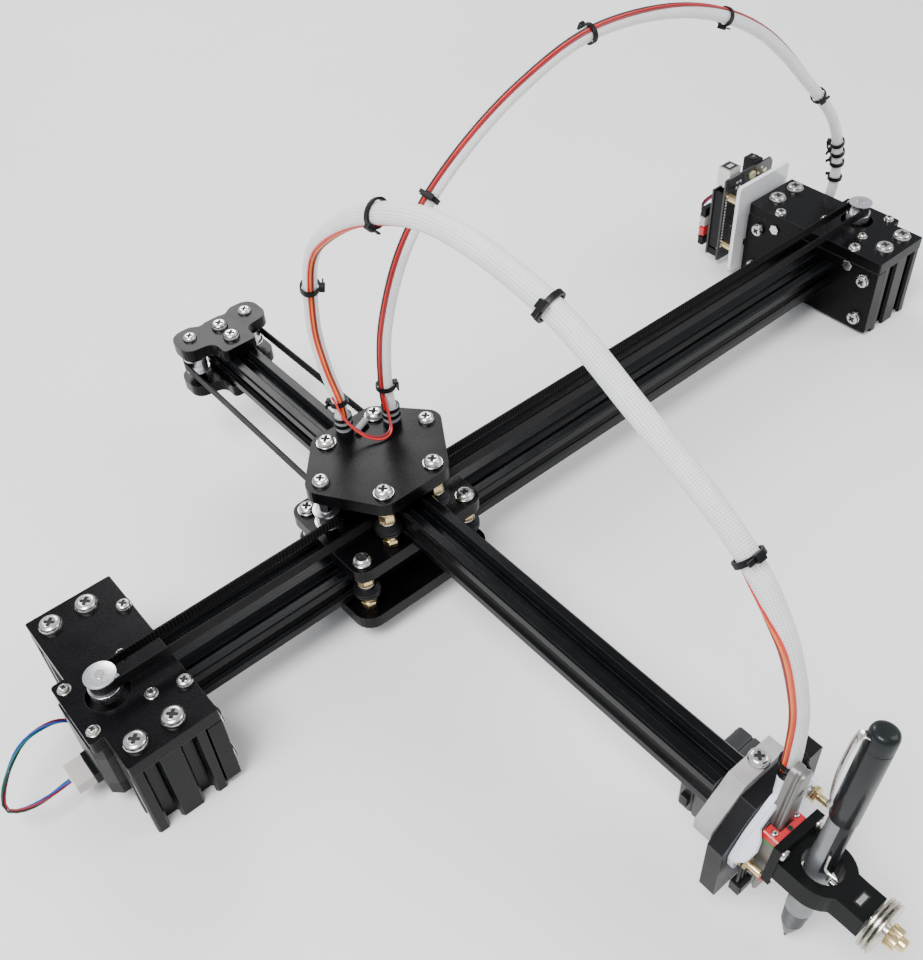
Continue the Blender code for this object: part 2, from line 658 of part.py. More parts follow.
def servo():
    width, depth, height = SERVO_SIZE
    x = SERVO_X + CARRIAGE_X
    front = HEAD_PLATE_FRONT + 1.0
    body = box("lift_servo", (x - width / 2, front, SERVO_Z - height / 2),
               (x + width / 2, front + depth, SERVO_Z + height / 2), "servo_black")
    back = HEAD_PLATE_BACK + GAP
    join(body, box("servo_ears", (x - 27.2, back, SERVO_Z - 9.0), (x + 27.2, back + 2.5, SERVO_Z + 9.0),
                   "servo_black"))


def servo_horn():
    centre = (HORN_X + CARRIAGE_X, SERVO_Z)
    tip = (centre[0] - HORN_REACH * math.cos(HORN_REST), centre[1] + HORN_REACH * math.sin(HORN_REST))
    lean = math.degrees(math.atan2(tip[1] - centre[1], tip[0] - centre[0]))
    outline = arc(centre, 4.5, lean + 75, lean + 285, 10) + arc(tip, 2.0, lean - 75, lean + 75, 5)
    pivot = (centre[0], BACKING_BACK, centre[1])
    horn = plate("servo_horn", [outline], "Y", BACKING_BACK - 2.0, BACKING_BACK - 0.1, "white_plastic", origin=pivot)
    hub = rods("servo_horn_hub", [((0, HEAD_PLATE_FRONT + 1 - GAP, 0), (0, BACKING_BACK - 1, 0))], 3.0,
               "white_plastic")
    hub.location = (centre[0] * MM, 0, centre[1] * MM)
    join(horn, hub)


def lift_frame():
    """Empty on the lift's leaning axis. The rail and everything that slides on it are placed in its frame."""
    axis = bpy.data.objects.new("lift_axis", None)
    axis.location = Vector((LIFT_X + CARRIAGE_X, 0, LIFT_Z)) * MM
    axis.rotation_euler = (0, LIFT_LEAN, 0)
    PARTS.objects.link(axis)
    return axis


def rail(axis):
    half, groove_low, groove_high = 4.5, RAIL_BACK - 2.6, RAIL_BACK - 5.0
    edge = [
        (-half, RAIL_BACK), (half, RAIL_BACK), (half, groove_low), (half - 1, groove_low - 0.8),
        (half - 1, groove_high + 0.8), (half, groove_high), (half, RAIL_FRONT), (-half, RAIL_FRONT),
        (-half, groove_high), (-half + 1, groove_high + 0.8), (-half + 1, groove_low - 0.8), (-half, groove_low),
    ]
    plate("lift_rail", [edge], "Z", RAIL_LOW, RAIL_HIGH, "rail_steel", parent=axis)


def block(axis):
    """Ball carriage that wraps the rail, with the peg that the servo's horn pushes up."""
    edge = [(-10, BLOCK_FRONT), (10, BLOCK_FRONT), (10, BLOCK_BACK), (4.9, BLOCK_BACK), (4.9, RAIL_FRONT - 0.4),
            (-4.9, RAIL_FRONT - 0.4), (-4.9, BLOCK_BACK), (-10, BLOCK_BACK)]
    body = plate("lift_block", [edge], "Z", BLOCK_LOW, BLOCK_HIGH, "block_red", parent=axis)
    peg_spot = (PEG_X, BLOCK_BACK - 2, PEG_Z), (PEG_X, BACKING_BACK - GAP, PEG_Z)
    peg = rods("lift_peg", [peg_spot], 1.4, "block_red", parent=axis)
    join(body, peg)


def holder(axis):
    """Pen holder: a plate on the block, a ring round the pen and a nose that the thumb screw runs through."""
    nose = [(-8.5, NOSE_FRONT), (8.5, NOSE_FRONT)]
    left = [(-14.5, HOLDER_BACK), *arc((0, RING_Y), 14.5, 180, 233, 5), (-8.5, NOSE_FRONT + 9)]
    right = [(-x, y) for x, y in reversed(left)]
    bore = circle(0, RING_Y, 9.0, 24)
    body = plate("pen_holder", [left + nose + right, bore], "Z", RING_LOW, RING_HIGH, "holder_black", parent=axis)
    join(body, box("holder_back", (-15, HOLDER_FRONT, -15), (15, HOLDER_BACK, 8), "holder_black", parent=axis))
    tunnel = [((0, NOSE_FRONT - 5, THUMB_Z), (0, RING_Y, THUMB_Z))]
    cut(body, rods("holder_tunnel", tunnel, 2.3, "holder_black", parent=axis))


def pen(axis):
    shape = [
        (0, PEN_TOP), (3.5, PEN_TOP - 0.8), (5.4, PEN_TOP - 2.8), (PEN_RADIUS, PEN_TOP - 6),
        (PEN_RADIUS, PEN_TIP + 24), (5.2, PEN_TIP + 23), (4.6, PEN_TIP + 12), (1.6, PEN_TIP + 3.5),
        (0.9, PEN_TIP), (0, PEN_TIP),
    ]
    body = turned("pen", shape, (0, PEN_Y, 0), "pen_black", parent=axis)
    clip = box("pen_clip", (-PEN_RADIUS - 3.4, PEN_Y - 2, PEN_TOP - 8), (-PEN_RADIUS + 1.5, PEN_Y + 2, PEN_TOP - 6),
               "pen_black", parent=axis)
    join(body, clip)
    blade = box("pen_clip_blade", (-PEN_RADIUS - 3.4, PEN_Y - 2, PEN_TOP - 48),
                (-PEN_RADIUS - 2.2, PEN_Y + 2, PEN_TOP - 7), "pen_black", parent=axis)
    join(body, blade)


def thumb_screw(axis):
    reach = NOSE_FRONT
    sections = [
        (3.0, -(reach - 13.0)), (5.0, -(reach - 8.0)), (3.4, -(reach - 6.6)), (12.5, -(reach - 1.6)),
        (2.0, -(PEN_Y - PEN_RADIUS - GAP)),
    ]
    profile = stepped(-(reach - 16.0), sections)
    turned("thumb_screw", profile, (0, 0, THUMB_Z), "thumb_metal", axis="-Y", parent=axis)


# Belt


def belt_route(stops):
    """Centre line of a belt over stops (x, y, radius, turn), where turn is 1 round an anticlockwise bend, -1 round
    a clockwise one and 0 at an end. Neighbouring stops are joined by their common tangent."""
    headings = []
    for (x0, y0, r0, t0), (x1, y1, r1, t1) in zip(stops, stops[1:]):
        span = Vector((x1 - x0, y1 - y0))
        offset = max(-1.0, min(1.0, (t1 * r1 - t0 * r0) / span.length))
        headings.append(math.atan2(span.y, span.x) - math.asin(offset))
    points = []
    for i, (x, y, radius, turn) in enumerate(stops):
        before = headings[max(i - 1, 0)]
        after = headings[min(i, len(headings) - 1)]
        sweep = (after - before + math.pi) % (2 * math.pi) - math.pi if turn else 0
        if turn and turn * sweep < 0:
            sweep += turn * 2 * math.pi
        steps = max(1, round(abs(sweep) / BELT_ARC_STEP)) if turn else 0
        for step in range(steps + 1):
            heading = before + (sweep * step / steps if steps else 0)
            points.append((x + turn * radius * math.sin(heading), y - turn * radius * math.cos(heading)))
    return points


def ribbon(name, stops):
    """Flat belt that stands on edge along its route."""
    shape = bmesh.new()
    verts = [shape.verts.new((x, y, BELT_Z - BELT_HALF_WIDTH)) for x, y in belt_route(stops)]
    edges = [shape.edges.new(pair) for pair in zip(verts, verts[1:])]
    raised = bmesh.ops.extrude_edge_only(shape, edges=edges)["geom"]
    top = [item for item in raised if isinstance(item, bmesh.types.BMVert)]
    bmesh.ops.translate(shape, verts=top, vec=(0, 0, 2 * BELT_HALF_WIDTH))
    obj = place(name, mesh_from(shape), "belt_rubber")
    skin = obj.modifiers.new("thickness", "SOLIDIFY")
    skin.thickness = BELT_THICKNESS * MM
    skin.offset = 0
    skin.use_even_offset = True


def belts():
    """The belt in the five stretches that its pulleys divide it into; both its ends are at the arm's front."""
    for label, side in (("left", -1), ("right", 1)):
        inner = on_carriage(side * (Y_AXLE[0] - WHEEL_BELT_RADIUS), -Y_AXLE[1] - BELT_LAP)
        wheel_stop = (*on_carriage(side * Y_AXLE[0], -Y_AXLE[1]), WHEEL_BELT_RADIUS, -side)
        motor_stop = (side * MOTOR_X, MOTOR_Y, PULLEY_PITCH_RADIUS, side)
        wing_stop = (*on_carriage(side * WING[0], WING[1]), IDLER_BELT_RADIUS, -side)
        wing_exit = on_carriage(side * (WING[0] - IDLER_BELT_RADIUS), WING[1] + BELT_LAP)
        ribbon(f"belt_arm_{label}", [(inner[0], BELT_END, 0, 0), (inner[0], inner[1] - GAP, 0, 0)])
        ribbon(f"belt_beam_{label}", [(*inner, 0, 0), wheel_stop, motor_stop, wing_stop, (*wing_exit, 0, 0)])
    exits = [on_carriage(side * (WING[0] - IDLER_BELT_RADIUS), WING[1] + BELT_LAP + GAP) for side in (-1, 1)]
    rear = [(*on_carriage(side * REAR_IDLER[0], REAR_IDLER[1]), IDLER_BELT_RADIUS, -1) for side in (-1, 1)]
    ribbon("belt_rear", [(*exits[0], 0, 0), *rear, (*exits[1], 0, 0)])


# Controller


def controller():
    width, height = BOARD_SIZE
    left, low = BOARD_LEFT, BOARD_TOP - height
    mount_edge = [(left - 1, 4, 3), (left + width + 1, 4, 3), (left + width + 1, BOARD_TOP, 3),
                  (left - 1, BOARD_TOP, 3)]
    mount = plate("controller_mount", [rounded(mount_edge, 3)], "Y", MOUNT_Y, MOUNT_Y + MOUNT_THICKNESS,
                  "white_acrylic")
    spots = [(left + 5, low + 14), (left + width - 5, low + 14), (left + 5, BOARD_TOP - 15),
             (left + width - 5, BOARD_TOP - 15)]
    spacers = [((x, MOUNT_Y + 2, z), (x, BOARD_Y - GAP, z)) for x, z in spots]
    join(mount, rods("mount_spacers", spacers, 2.6, "thumb_metal", 8))
    leg_spots = [(inward(1, LEG_CENTRE - CELL / 2), z) for z in (15.0, 40.0)]
    feet = [((x, LEG_Y + CELL / 2 + GAP, z), (x, MOUNT_Y + 1, z)) for x, z in leg_spots]
    join(mount, rods("mount_feet", feet, 4.0, "thumb_metal", 10))

    board = box("controller_board", (left, BOARD_Y, low), (left + width, BOARD_Y + BOARD_THICKNESS, BOARD_TOP),
                "board_black")
    top = BOARD_TOP
    back = BOARD_Y + BOARD_THICKNESS - 0.5
    fittings = [
        ("usb_socket", (left + 5, back, top - 10), (left + 17, back + 11.5, top + 6)),
        ("power_jack", (left + 34, back, top - 12), (left + 43, back + 11.5, top + 2)),
        ("driver_shield", (left + 1, back, low + 1), (left + width - 1, back + 14, top - 16)),
        ("wire_plugs", (left - 1.5, back + 13, low + 6), (left + 9, back + 22, low + 40)),
    ]
    for name, corner_low, corner_high in fittings:
        join(board, box(name, corner_low, corner_high, "board_black"))


# Cables


def smooth(route, spacing):
    """Evenly spaced points on a smooth curve through a hand-chosen route."""
    knots = [Vector(point) for point in route]
    knots = [2 * knots[0] - knots[1], *knots, 2 * knots[-1] - knots[-2]]
    dense = []
    for a, b, c, d in zip(knots, knots[1:], knots[2:], knots[3:]):
        for step in range(12):
            t = step / 12
            dense.append(0.5 * (2 * b + (c - a) * t + (2 * a - 5 * b + 4 * c - d) * t ** 2
                                + (3 * b - 3 * c + d - a) * t ** 3))
    dense.append(knots[-2])
    length = sum((q - p).length for p, q in zip(dense, dense[1:]))
    count = max(2, round(length / spacing))
    points, walked, target = [dense[0]], 0.0, length / count
    for p, q in zip(dense, dense[1:]):
        step = (q - p).length
        while walked + step >= target and len(points) < count:
            points.append(p.lerp(q, (target - walked) / step))
            target += length / count
        walked += step
    return points + [dense[-1]]


def tube(name, route, radius, spacing, finish):
    curve = bpy.data.curves.new(name, "CURVE")
    curve.dimensions = "3D"
    curve.bevel_depth = radius * MM
    curve.bevel_resolution = 2
    curve.use_fill_caps = True
    points = smooth(route, spacing)
    spline = curve.splines.new("POLY")
    spline.points.add(len(points) - 1)
    for point, spot in zip(spline.points, points):
        point.co = (*(spot * MM), 1)
    place(name, curve, finish)


def cables():
    """Two sleeves that arch over the machine: one from the controller to the carriage, one on to the head."""
    beam_route = [
        (313.0, 62.0, 28.0), (313.2, 50.0, 30.0), (313.2, 32.0, 40.0), (313.2, 24.0, 62.0), (311.5, 23.8, 92.0),
        (297.0, 23.6, 124.0), (265.0, 23.0, 158.0), (199.0, 22.0, 216.0), (131.0, 21.0, 250.0), (59.0, 20.0, 263.0),
        (5.0, 19.3, 252.0), (-42.0, 18.7, 228.0), (-74.0, 18.0, 199.0), (-92.0, 17.8, 161.0), (-97.5, 17.6, 125.0),
        (-96.5, 17.6, TOP_BOTTOM + PLATE + GAP),
    ]
    tube("cable_beam", beam_route, CABLE_RADIUS, 20.0, "sleeve_white")
    arm_route = [
        (-120.3, 29.5, TOP_BOTTOM + PLATE + 2 * GAP), (-120.4, 30.5, 115.0), (-120.6, 38.0, 134.0), (-120.4, 42.5, 160.0),
        (-120.0, 35.0, 200.0), (-119.0, 18.0, 224.0), (-117.0, -17.0, 249.0), (-115.0, -66.0, 264.0),
        (-113.0, -125.0, 256.0), (-110.5, -172.0, 230.0), (-108.5, -218.0, 201.0), (-107.0, -243.0, 172.0),
        (-105.0, -256.5, 136.0), (-103.6, -259.8, 105.0), (-103.0, SLEEVE_FOOT_Y, SLEEVE_FOOT_Z),
    ]
    tube("cable_arm", arm_route, CABLE_RADIUS, 20.0, "sleeve_white")


def motor_lead():
    """Lead of the left motor: its plug, a loop outside the bracket, then under the end plates and along the floor
    below the beam to the controller."""
    socket_x = -MOTOR_X - MOTOR_WIDTH / 2 - 3.0
    socket_z = DECK_BOTTOM - GAP - MOTOR_LENGTH + 5.0
    box("motor_lead_plug", (socket_x - PLUG_LENGTH, MOTOR_Y - PLUG_HALF_WIDTH, socket_z - 3.2),
        (socket_x - GAP, MOTOR_Y + PLUG_HALF_WIDTH, socket_z + 3.2), "plug_white")
    start_x = socket_x - PLUG_LENGTH - 2 * GAP
    floor = LEAD_RADIUS + 0.2
    route = [
        (start_x, MOTOR_Y, socket_z), (start_x - 14, MOTOR_Y - 1.5, socket_z + 0.5),
        (start_x - 25, MOTOR_Y - 0.5, socket_z + 2), (start_x - 31, MOTOR_Y + 5, 21.0),
        (start_x - 25, MOTOR_Y + 14, 27.0), (start_x - 10, MOTOR_Y + 23, 34.0), (-324.0, 16.0, 31.0),
        (-312.0, 18.0, 19.0), (-298.0, 19.0, 6.0), (-280.0, 16.0, floor), (-262.0, 17.0, floor),
        (-225.0, 25.0, floor), (-150.0, 31.0, floor),
        (-60.0, 27.0, floor), (50.0, 31.0, floor), (150.0, 28.0, floor), (225.0, 23.0, floor),
        (262.0, 17.0, floor), (286.0, 20.0, floor), (304.0, 27.0, 3.0), (313.0, 40.0, 6.0), (313.0, 62.0, 10.0),
        (308.5, 82.0, 14.0),
    ]
    tube("motor_lead", route, LEAD_RADIUS, 12.0, "lead_insulation")


def shift_to_base():
    """Moves everything so that the origin lies under the middle of the machine's box."""
    for obj in [*PARTS.objects, *CUTTERS.objects]:
        if obj.parent is None:
            obj.location.y -= BASE_CENTRE_Y * MM


def build():
    make_materials()
    for label, side in (("left", -1), ("right", 1)):
        bracket_deck(side, label)
        bracket_end_plate(side, label)
        legs(side, label)
        motor(side, label)
        drive_pulley(side, label)
    beam()
    carriage_plates()
    x_axles_and_wheels()
    y_axles_and_wheels()
    idlers()
    arm()
    rear_plates()
    head_bracket()
    head_plate()
    backing_plate()
    servo()
    servo_horn()
    axis = lift_frame()
    rail(axis)
    block(axis)
    holder(axis)
    pen(axis)
    thumb_screw(axis)
    belts()
    controller()
    cables()
    motor_lead()
    shift_to_base()


clear_scene()
PARTS = make_collection("pen_plotter")
CUTTERS = make_collection("cutters")
build()
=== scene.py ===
"""Looks for the desktop pen plotter: camera, cords, sleeves, belts, fasteners, head, controller and finishes.
Sizes are millimetres until a mesh is finished; X runs along the beam, Y along the arm, Z is up."""
import math

import bmesh
import bpy
from mathutils import Matrix, Vector


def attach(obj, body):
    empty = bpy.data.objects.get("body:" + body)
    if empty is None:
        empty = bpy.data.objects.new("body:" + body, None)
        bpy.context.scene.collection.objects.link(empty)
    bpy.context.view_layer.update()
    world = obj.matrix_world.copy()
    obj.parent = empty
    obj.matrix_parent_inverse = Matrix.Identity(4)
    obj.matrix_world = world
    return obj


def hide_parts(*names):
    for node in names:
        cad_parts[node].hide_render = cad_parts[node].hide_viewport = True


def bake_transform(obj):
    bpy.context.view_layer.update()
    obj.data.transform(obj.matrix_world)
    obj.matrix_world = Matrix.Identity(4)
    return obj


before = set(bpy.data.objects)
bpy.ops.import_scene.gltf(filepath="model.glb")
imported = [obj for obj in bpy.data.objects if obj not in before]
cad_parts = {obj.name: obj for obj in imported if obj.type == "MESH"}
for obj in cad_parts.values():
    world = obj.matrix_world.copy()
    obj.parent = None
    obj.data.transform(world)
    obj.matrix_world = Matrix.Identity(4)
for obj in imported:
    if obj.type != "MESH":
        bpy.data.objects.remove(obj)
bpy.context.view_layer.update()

MM = 0.001

# The machine's own measures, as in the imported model.
BEAM_Y = 75.75
CARRIAGE_X = -118.7
MOTOR_X = 296.3
MOTOR_Y = 64.65
DECK_TOP = 61.0
BEAM_Z = 35.5
BELT_Z = 71.3
PLATE = 8.0
LIFT_LEAN = math.radians(9.5)
LIFT = Matrix.Translation((-113.7, BEAM_Y, DECK_TOP)) @ Matrix.Rotation(LIFT_LEAN, 4, "Y")
X_AXLE = (35.7, 25.9)
Y_AXLE = (16.3, 25.8)
WING = (35.4, 3.6)
REAR_IDLER = (19.9, 169.4)
BACKING_FACE = -263.6 + BEAM_Y
BAND_TURN = math.radians(-108)
CLIP_TURN = math.radians(-40)
CROSS_ARM = 0.34
CORNERS = {"front_left": (-1, -1), "front_right": (1, -1), "rear_right": (1, 1), "rear_left": (-1, 1)}


def on_carriage(x, y):
    return CARRIAGE_X + x, BEAM_Y + y


def inward(side, distance):
    return side * (MOTOR_X - distance)


# Camera


def make_camera():
    data = bpy.data.cameras.new("camera")
    data.lens = 41.1
    data.sensor_width = 36.0
    data.clip_start = 0.01
    camera = bpy.data.objects.new("camera", data)
    bpy.context.scene.collection.objects.link(camera)
    forward = Vector((0.42489, 0.56387, -0.70818)).normalized()
    right = Vector((0.76383, -0.64317, -0.05383)).normalized()
    up = right.cross(forward)
    turn = Matrix((right, up, -forward)).transposed()
    camera.matrix_world = Matrix.Translation((-0.3410, -0.2907, 0.4989)) @ turn.to_4x4()
    bpy.context.scene.camera = camera


make_camera()


# Materials


def node(tree, kind, **inputs):
    made = tree.nodes.new(kind)
    for key, value in inputs.items():
        made.inputs[key.replace("_", " ")].default_value = value
    return made


def finish(name, colour, roughness, metallic=0.0, vary=0.15, spot=60.0, grain=1200.0, bump=0.08, edge_highlight=0.0,
           streak=None, lines=None, rounding=0.0, coat=0.0, alpha=1.0, transmission=0.0, band=None, specular=0.5):
    """A procedural material: colour clouds, uneven roughness, grain, rounded edges painted lighter grey as a painted
    highlight and, where it has them, brushed streaks or printed lines. streak squeezes the grain along an axis; lines
    is (axis, spacing in mm, depth)."""
    material = bpy.data.materials.new(name)
    material.use_nodes = True
    tree = material.node_tree
    shader = tree.nodes["Principled BSDF"]
    link = tree.links.new
    shader.inputs["Metallic"].default_value = metallic
    shader.inputs["Alpha"].default_value = alpha
    shader.inputs["Specular IOR Level"].default_value = specular
    shader.inputs["Coat Weight"].default_value = coat
    shader.inputs["Transmission Weight"].default_value = transmission
    place = tree.nodes.new("ShaderNodeTexCoord").outputs["Object"]
    clouds = node(tree, "ShaderNodeTexNoise", Scale=spot, Detail=4.0)
    link(place, clouds.inputs["Vector"])
    ramp = tree.nodes.new("ShaderNodeValToRGB")
    ramp.color_ramp.elements[0].position = 0.32
    ramp.color_ramp.elements[1].position = 0.7
    ramp.color_ramp.elements[0].color = (*[c * (1 - vary) for c in colour], 1)
    ramp.color_ramp.elements[1].color = (*[min(1, c * (1 + vary)) for c in colour], 1)
    link(clouds.outputs["Fac"], ramp.inputs["Fac"])
    tint = ramp.outputs["Color"]
    fine_place = place
    if streak:
        squeeze = tree.nodes.new("ShaderNodeMapping")
        squeeze.inputs["Scale"].default_value = streak
        link(place, squeeze.inputs["Vector"])
        fine_place = squeeze.outputs["Vector"]
    fine = node(tree, "ShaderNodeTexNoise", Scale=grain, Detail=3.0)
    link(fine_place, fine.inputs["Vector"])
    spread = node(tree, "ShaderNodeMapRange")
    spread.inputs["From Min"].default_value = 0.3
    spread.inputs["From Max"].default_value = 0.7
    spread.inputs["To Min"].default_value = max(0.05, roughness - 0.08)
    spread.inputs["To Max"].default_value = min(1.0, roughness + 0.1)
    mixed = node(tree, "ShaderNodeMath")
    mixed.operation = "MULTIPLY_ADD"
    mixed.inputs[1].default_value = 0.5
    link(clouds.outputs["Fac"], mixed.inputs[0])
    half = node(tree, "ShaderNodeMath")
    half.operation = "MULTIPLY"
    half.inputs[1].default_value = 0.5
    link(fine.outputs["Fac"], half.inputs[0])
    link(half.outputs[0], mixed.inputs[2])
    link(mixed.outputs[0], spread.inputs["Value"])
    link(spread.outputs["Result"], shader.inputs["Roughness"])
    height = fine.outputs["Fac"]
    if lines:
        axis, spacing, depth = lines
        split = tree.nodes.new("ShaderNodeSeparateXYZ")
        link(place, split.inputs["Vector"])
        wave = node(tree, "ShaderNodeMath")
        wave.operation = "MULTIPLY"
        wave.inputs[1].default_value = 2 * math.pi / (spacing * MM)
        link(split.outputs[axis], wave.inputs[0])
        ripple = node(tree, "ShaderNodeMath")
        ripple.operation = "SINE"
        link(wave.outputs[0], ripple.inputs[0])
        add = node(tree, "ShaderNodeMath")
        add.operation = "MULTIPLY_ADD"
        add.inputs[1].default_value = depth
        link(ripple.outputs[0], add.inputs[0])
        link(height, add.inputs[2])
        height = add.outputs[0]
    relief = node(tree, "ShaderNodeBump", Strength=bump, Distance=0.0004)
    link(height, relief.inputs["Height"])
    if rounding:
        soft = node(tree, "ShaderNodeBevel", Radius=rounding * MM)
        soft.samples = 4
        link(soft.outputs["Normal"], relief.inputs["Normal"])
        # Painted highlight: on rounded edges, where the bevelled normal turns away from the flat one, the colour is
        # mixed in patches toward a lighter grey.
        if edge_highlight:
            flat = tree.nodes.new("ShaderNodeNewGeometry")
            dot = tree.nodes.new("ShaderNodeVectorMath")
            dot.operation = "DOT_PRODUCT"
            link(soft.outputs["Normal"], dot.inputs[0])
            link(flat.outputs["Normal"], dot.inputs[1])
            edge = node(tree, "ShaderNodeMapRange")
            edge.inputs["From Min"].default_value = 0.995
            edge.inputs["From Max"].default_value = 0.9
            edge.inputs["To Max"].default_value = edge_highlight
            link(dot.outputs["Value"], edge.inputs["Value"])
            highlight_share = node(tree, "ShaderNodeMath")
            highlight_share.operation = "MULTIPLY"
            link(edge.outputs["Result"], highlight_share.inputs[0])
            link(clouds.outputs["Fac"], highlight_share.inputs[1])
            blend = tree.nodes.new("ShaderNodeMix")
            blend.data_type = "RGBA"
            link(highlight_share.outputs[0], blend.inputs[0])
            link(tint, blend.inputs[6])
            # The lighter grey of the painted edge highlight.
            blend.inputs[7].default_value = (0.35, 0.35, 0.36, 1)
            tint = blend.outputs[2]
    if band:
        low, high, inside = band
        split = tree.nodes.new("ShaderNodeSeparateXYZ")
        link(place, split.inputs["Vector"])
        above = node(tree, "ShaderNodeMath")
        above.operation = "GREATER_THAN"
        above.inputs[1].default_value = low * MM
        below = node(tree, "ShaderNodeMath")
        below.operation = "LESS_THAN"
        below.inputs[1].default_value = high * MM
        both = node(tree, "ShaderNodeMath")
        both.operation = "MULTIPLY"
        link(split.outputs["Z"], above.inputs[0])
        link(split.outputs["Z"], below.inputs[0])
        link(above.outputs[0], both.inputs[0])
        link(below.outputs[0], both.inputs[1])
        blend = tree.nodes.new("ShaderNodeMix")
        blend.data_type = "RGBA"
        link(both.outputs[0], blend.inputs[0])
        link(tint, blend.inputs[6])
        blend.inputs[7].default_value = (*inside, 1)
        tint = blend.outputs[2]
    link(tint, shader.inputs["Base Color"])
    link(relief.outputs["Normal"], shader.inputs["Normal"])
    return material


PLATE_BLACK = finish("plate", (0.002, 0.002, 0.0025), 0.26, specular=0.12, rounding=0.5, edge_highlight=0.25, grain=1500, bump=0.1)
PROFILE_BLACK_X = finish("profile_x", (0.0022, 0.0025, 0.003), 0.24, specular=0.14, metallic=0.05, rounding=0.3, edge_highlight=0.3,
                         streak=(0.03, 1, 1), grain=1800, bump=0.1)
PROFILE_BLACK_Y = finish("profile_y", (0.0022, 0.0025, 0.003), 0.24, specular=0.14, metallic=0.05, rounding=0.3, edge_highlight=0.3,
                         streak=(1, 0.03, 1), grain=1800, bump=0.1)
PROFILE_BLACK_Z = finish("profile_z", (0.0022, 0.0025, 0.003), 0.24, specular=0.14, metallic=0.05, rounding=0.3, edge_highlight=0.3,
                         streak=(1, 1, 0.03), grain=1800, bump=0.1)
MOTOR = finish("motor", (0.003, 0.003, 0.0035), 0.34, specular=0.15, rounding=0.6, edge_highlight=0.3, bump=0.1, lines=("Z", 0.7, 0.3),
               band=(22.0, 44.0, (0.02, 0.02, 0.021)))
STEEL = finish("steel", (0.66, 0.64, 0.61), 0.22, metallic=1.0, vary=0.1, bump=0.012)
DARK_STEEL = finish("dark_steel", (0.1, 0.1, 0.1), 0.35, metallic=0.9)
# Near-black painted shade for the floors of recesses, holes and socket openings.
HOLE_SHADE = finish("socket", (0.006, 0.006, 0.006), 0.7)
ALUMINIUM = finish("turned_aluminium", (0.74, 0.74, 0.76), 0.28, metallic=1.0, vary=0.06, lines=("Z", 0.35, 0.4))
BRASS = finish("brass", (0.74, 0.58, 0.31), 0.26, metallic=1.0, vary=0.12, bump=0.015)
WHEEL = finish("wheel", (0.005, 0.005, 0.006), 0.4, specular=0.2, bump=0.05)
RUBBER = finish("belt", (0.003, 0.003, 0.0035), 0.5, specular=0.12, grain=2500, bump=0.3)
GREY = finish("grey", (0.36, 0.34, 0.34), 0.5, metallic=0.1, rounding=0.4, edge_highlight=0.5, grain=1500, bump=0.2)
HEAD_BLACK = finish("head_black", (0.005, 0.005, 0.006), 0.42, specular=0.2, rounding=0.4, edge_highlight=0.3, grain=1800, bump=0.25)
# White plastic; its blue tint is a painted reflection.
WHITE_GLOSS = finish("white_gloss", (0.76, 0.78, 0.9), 0.22, vary=0.03, coat=0.4, rounding=0.6, bump=0.04)
ACRYLIC = finish("acrylic", (0.86, 0.86, 0.87), 0.15, vary=0.02, coat=0.6, rounding=0.3, bump=0.02)
SERVO = finish("servo", (0.017, 0.017, 0.019), 0.42, grain=1600, bump=0.2)
RAIL = finish("rail", (0.2, 0.195, 0.185), 0.42, metallic=0.75, vary=0.1, streak=(1, 1, 0.05), grain=2200, bump=0.05)
RED = finish("red", (0.58, 0.012, 0.02), 0.34, vary=0.1, coat=0.2, bump=0.06)
GREEN = finish("green_seal", (0.03, 0.3, 0.1), 0.45)
HOLDER = finish("holder", (0.0025, 0.003, 0.003), 0.4, specular=0.14, grain=1500, bump=0.12, rounding=0.4)
PEN = finish("pen", (0.005, 0.0075, 0.008), 0.4, specular=0.16, coat=0.25, bump=0.04)
BOARD = finish("board", (0.008, 0.01, 0.011), 0.3, coat=0.35, bump=0.05, spot=200)
SOLDER = finish("solder", (0.72, 0.72, 0.7), 0.3, metallic=1.0)
PAD = finish("pad", (0.72, 0.76, 0.42), 0.4)
BLACK = finish("moulded_black", (0.005, 0.005, 0.006), 0.42, specular=0.2, bump=0.12)
PEN_CONE = finish("pen_cone", (0.06, 0.064, 0.068), 0.4, bump=0.05)
PEN_GREY = finish("pen_grey", (0.2, 0.21, 0.215), 0.3, metallic=0.6, bump=0.03)
ZINC = finish("zinc", (0.5, 0.47, 0.38), 0.24, metallic=1.0, vary=0.1, bump=0.01)
TUBE_GREY = finish("tube_grey", (0.3, 0.31, 0.32), 0.5, bump=0.05)
CRYSTAL = finish("crystal_can", (0.62, 0.62, 0.36), 0.35, metallic=0.6, bump=0.03)
NYLON = finish("nylon", (0.52, 0.48, 0.45), 0.42, vary=0.05, bump=0.08)
TIE = finish("tie", (0.82, 0.82, 0.8), 0.4, vary=0.04)


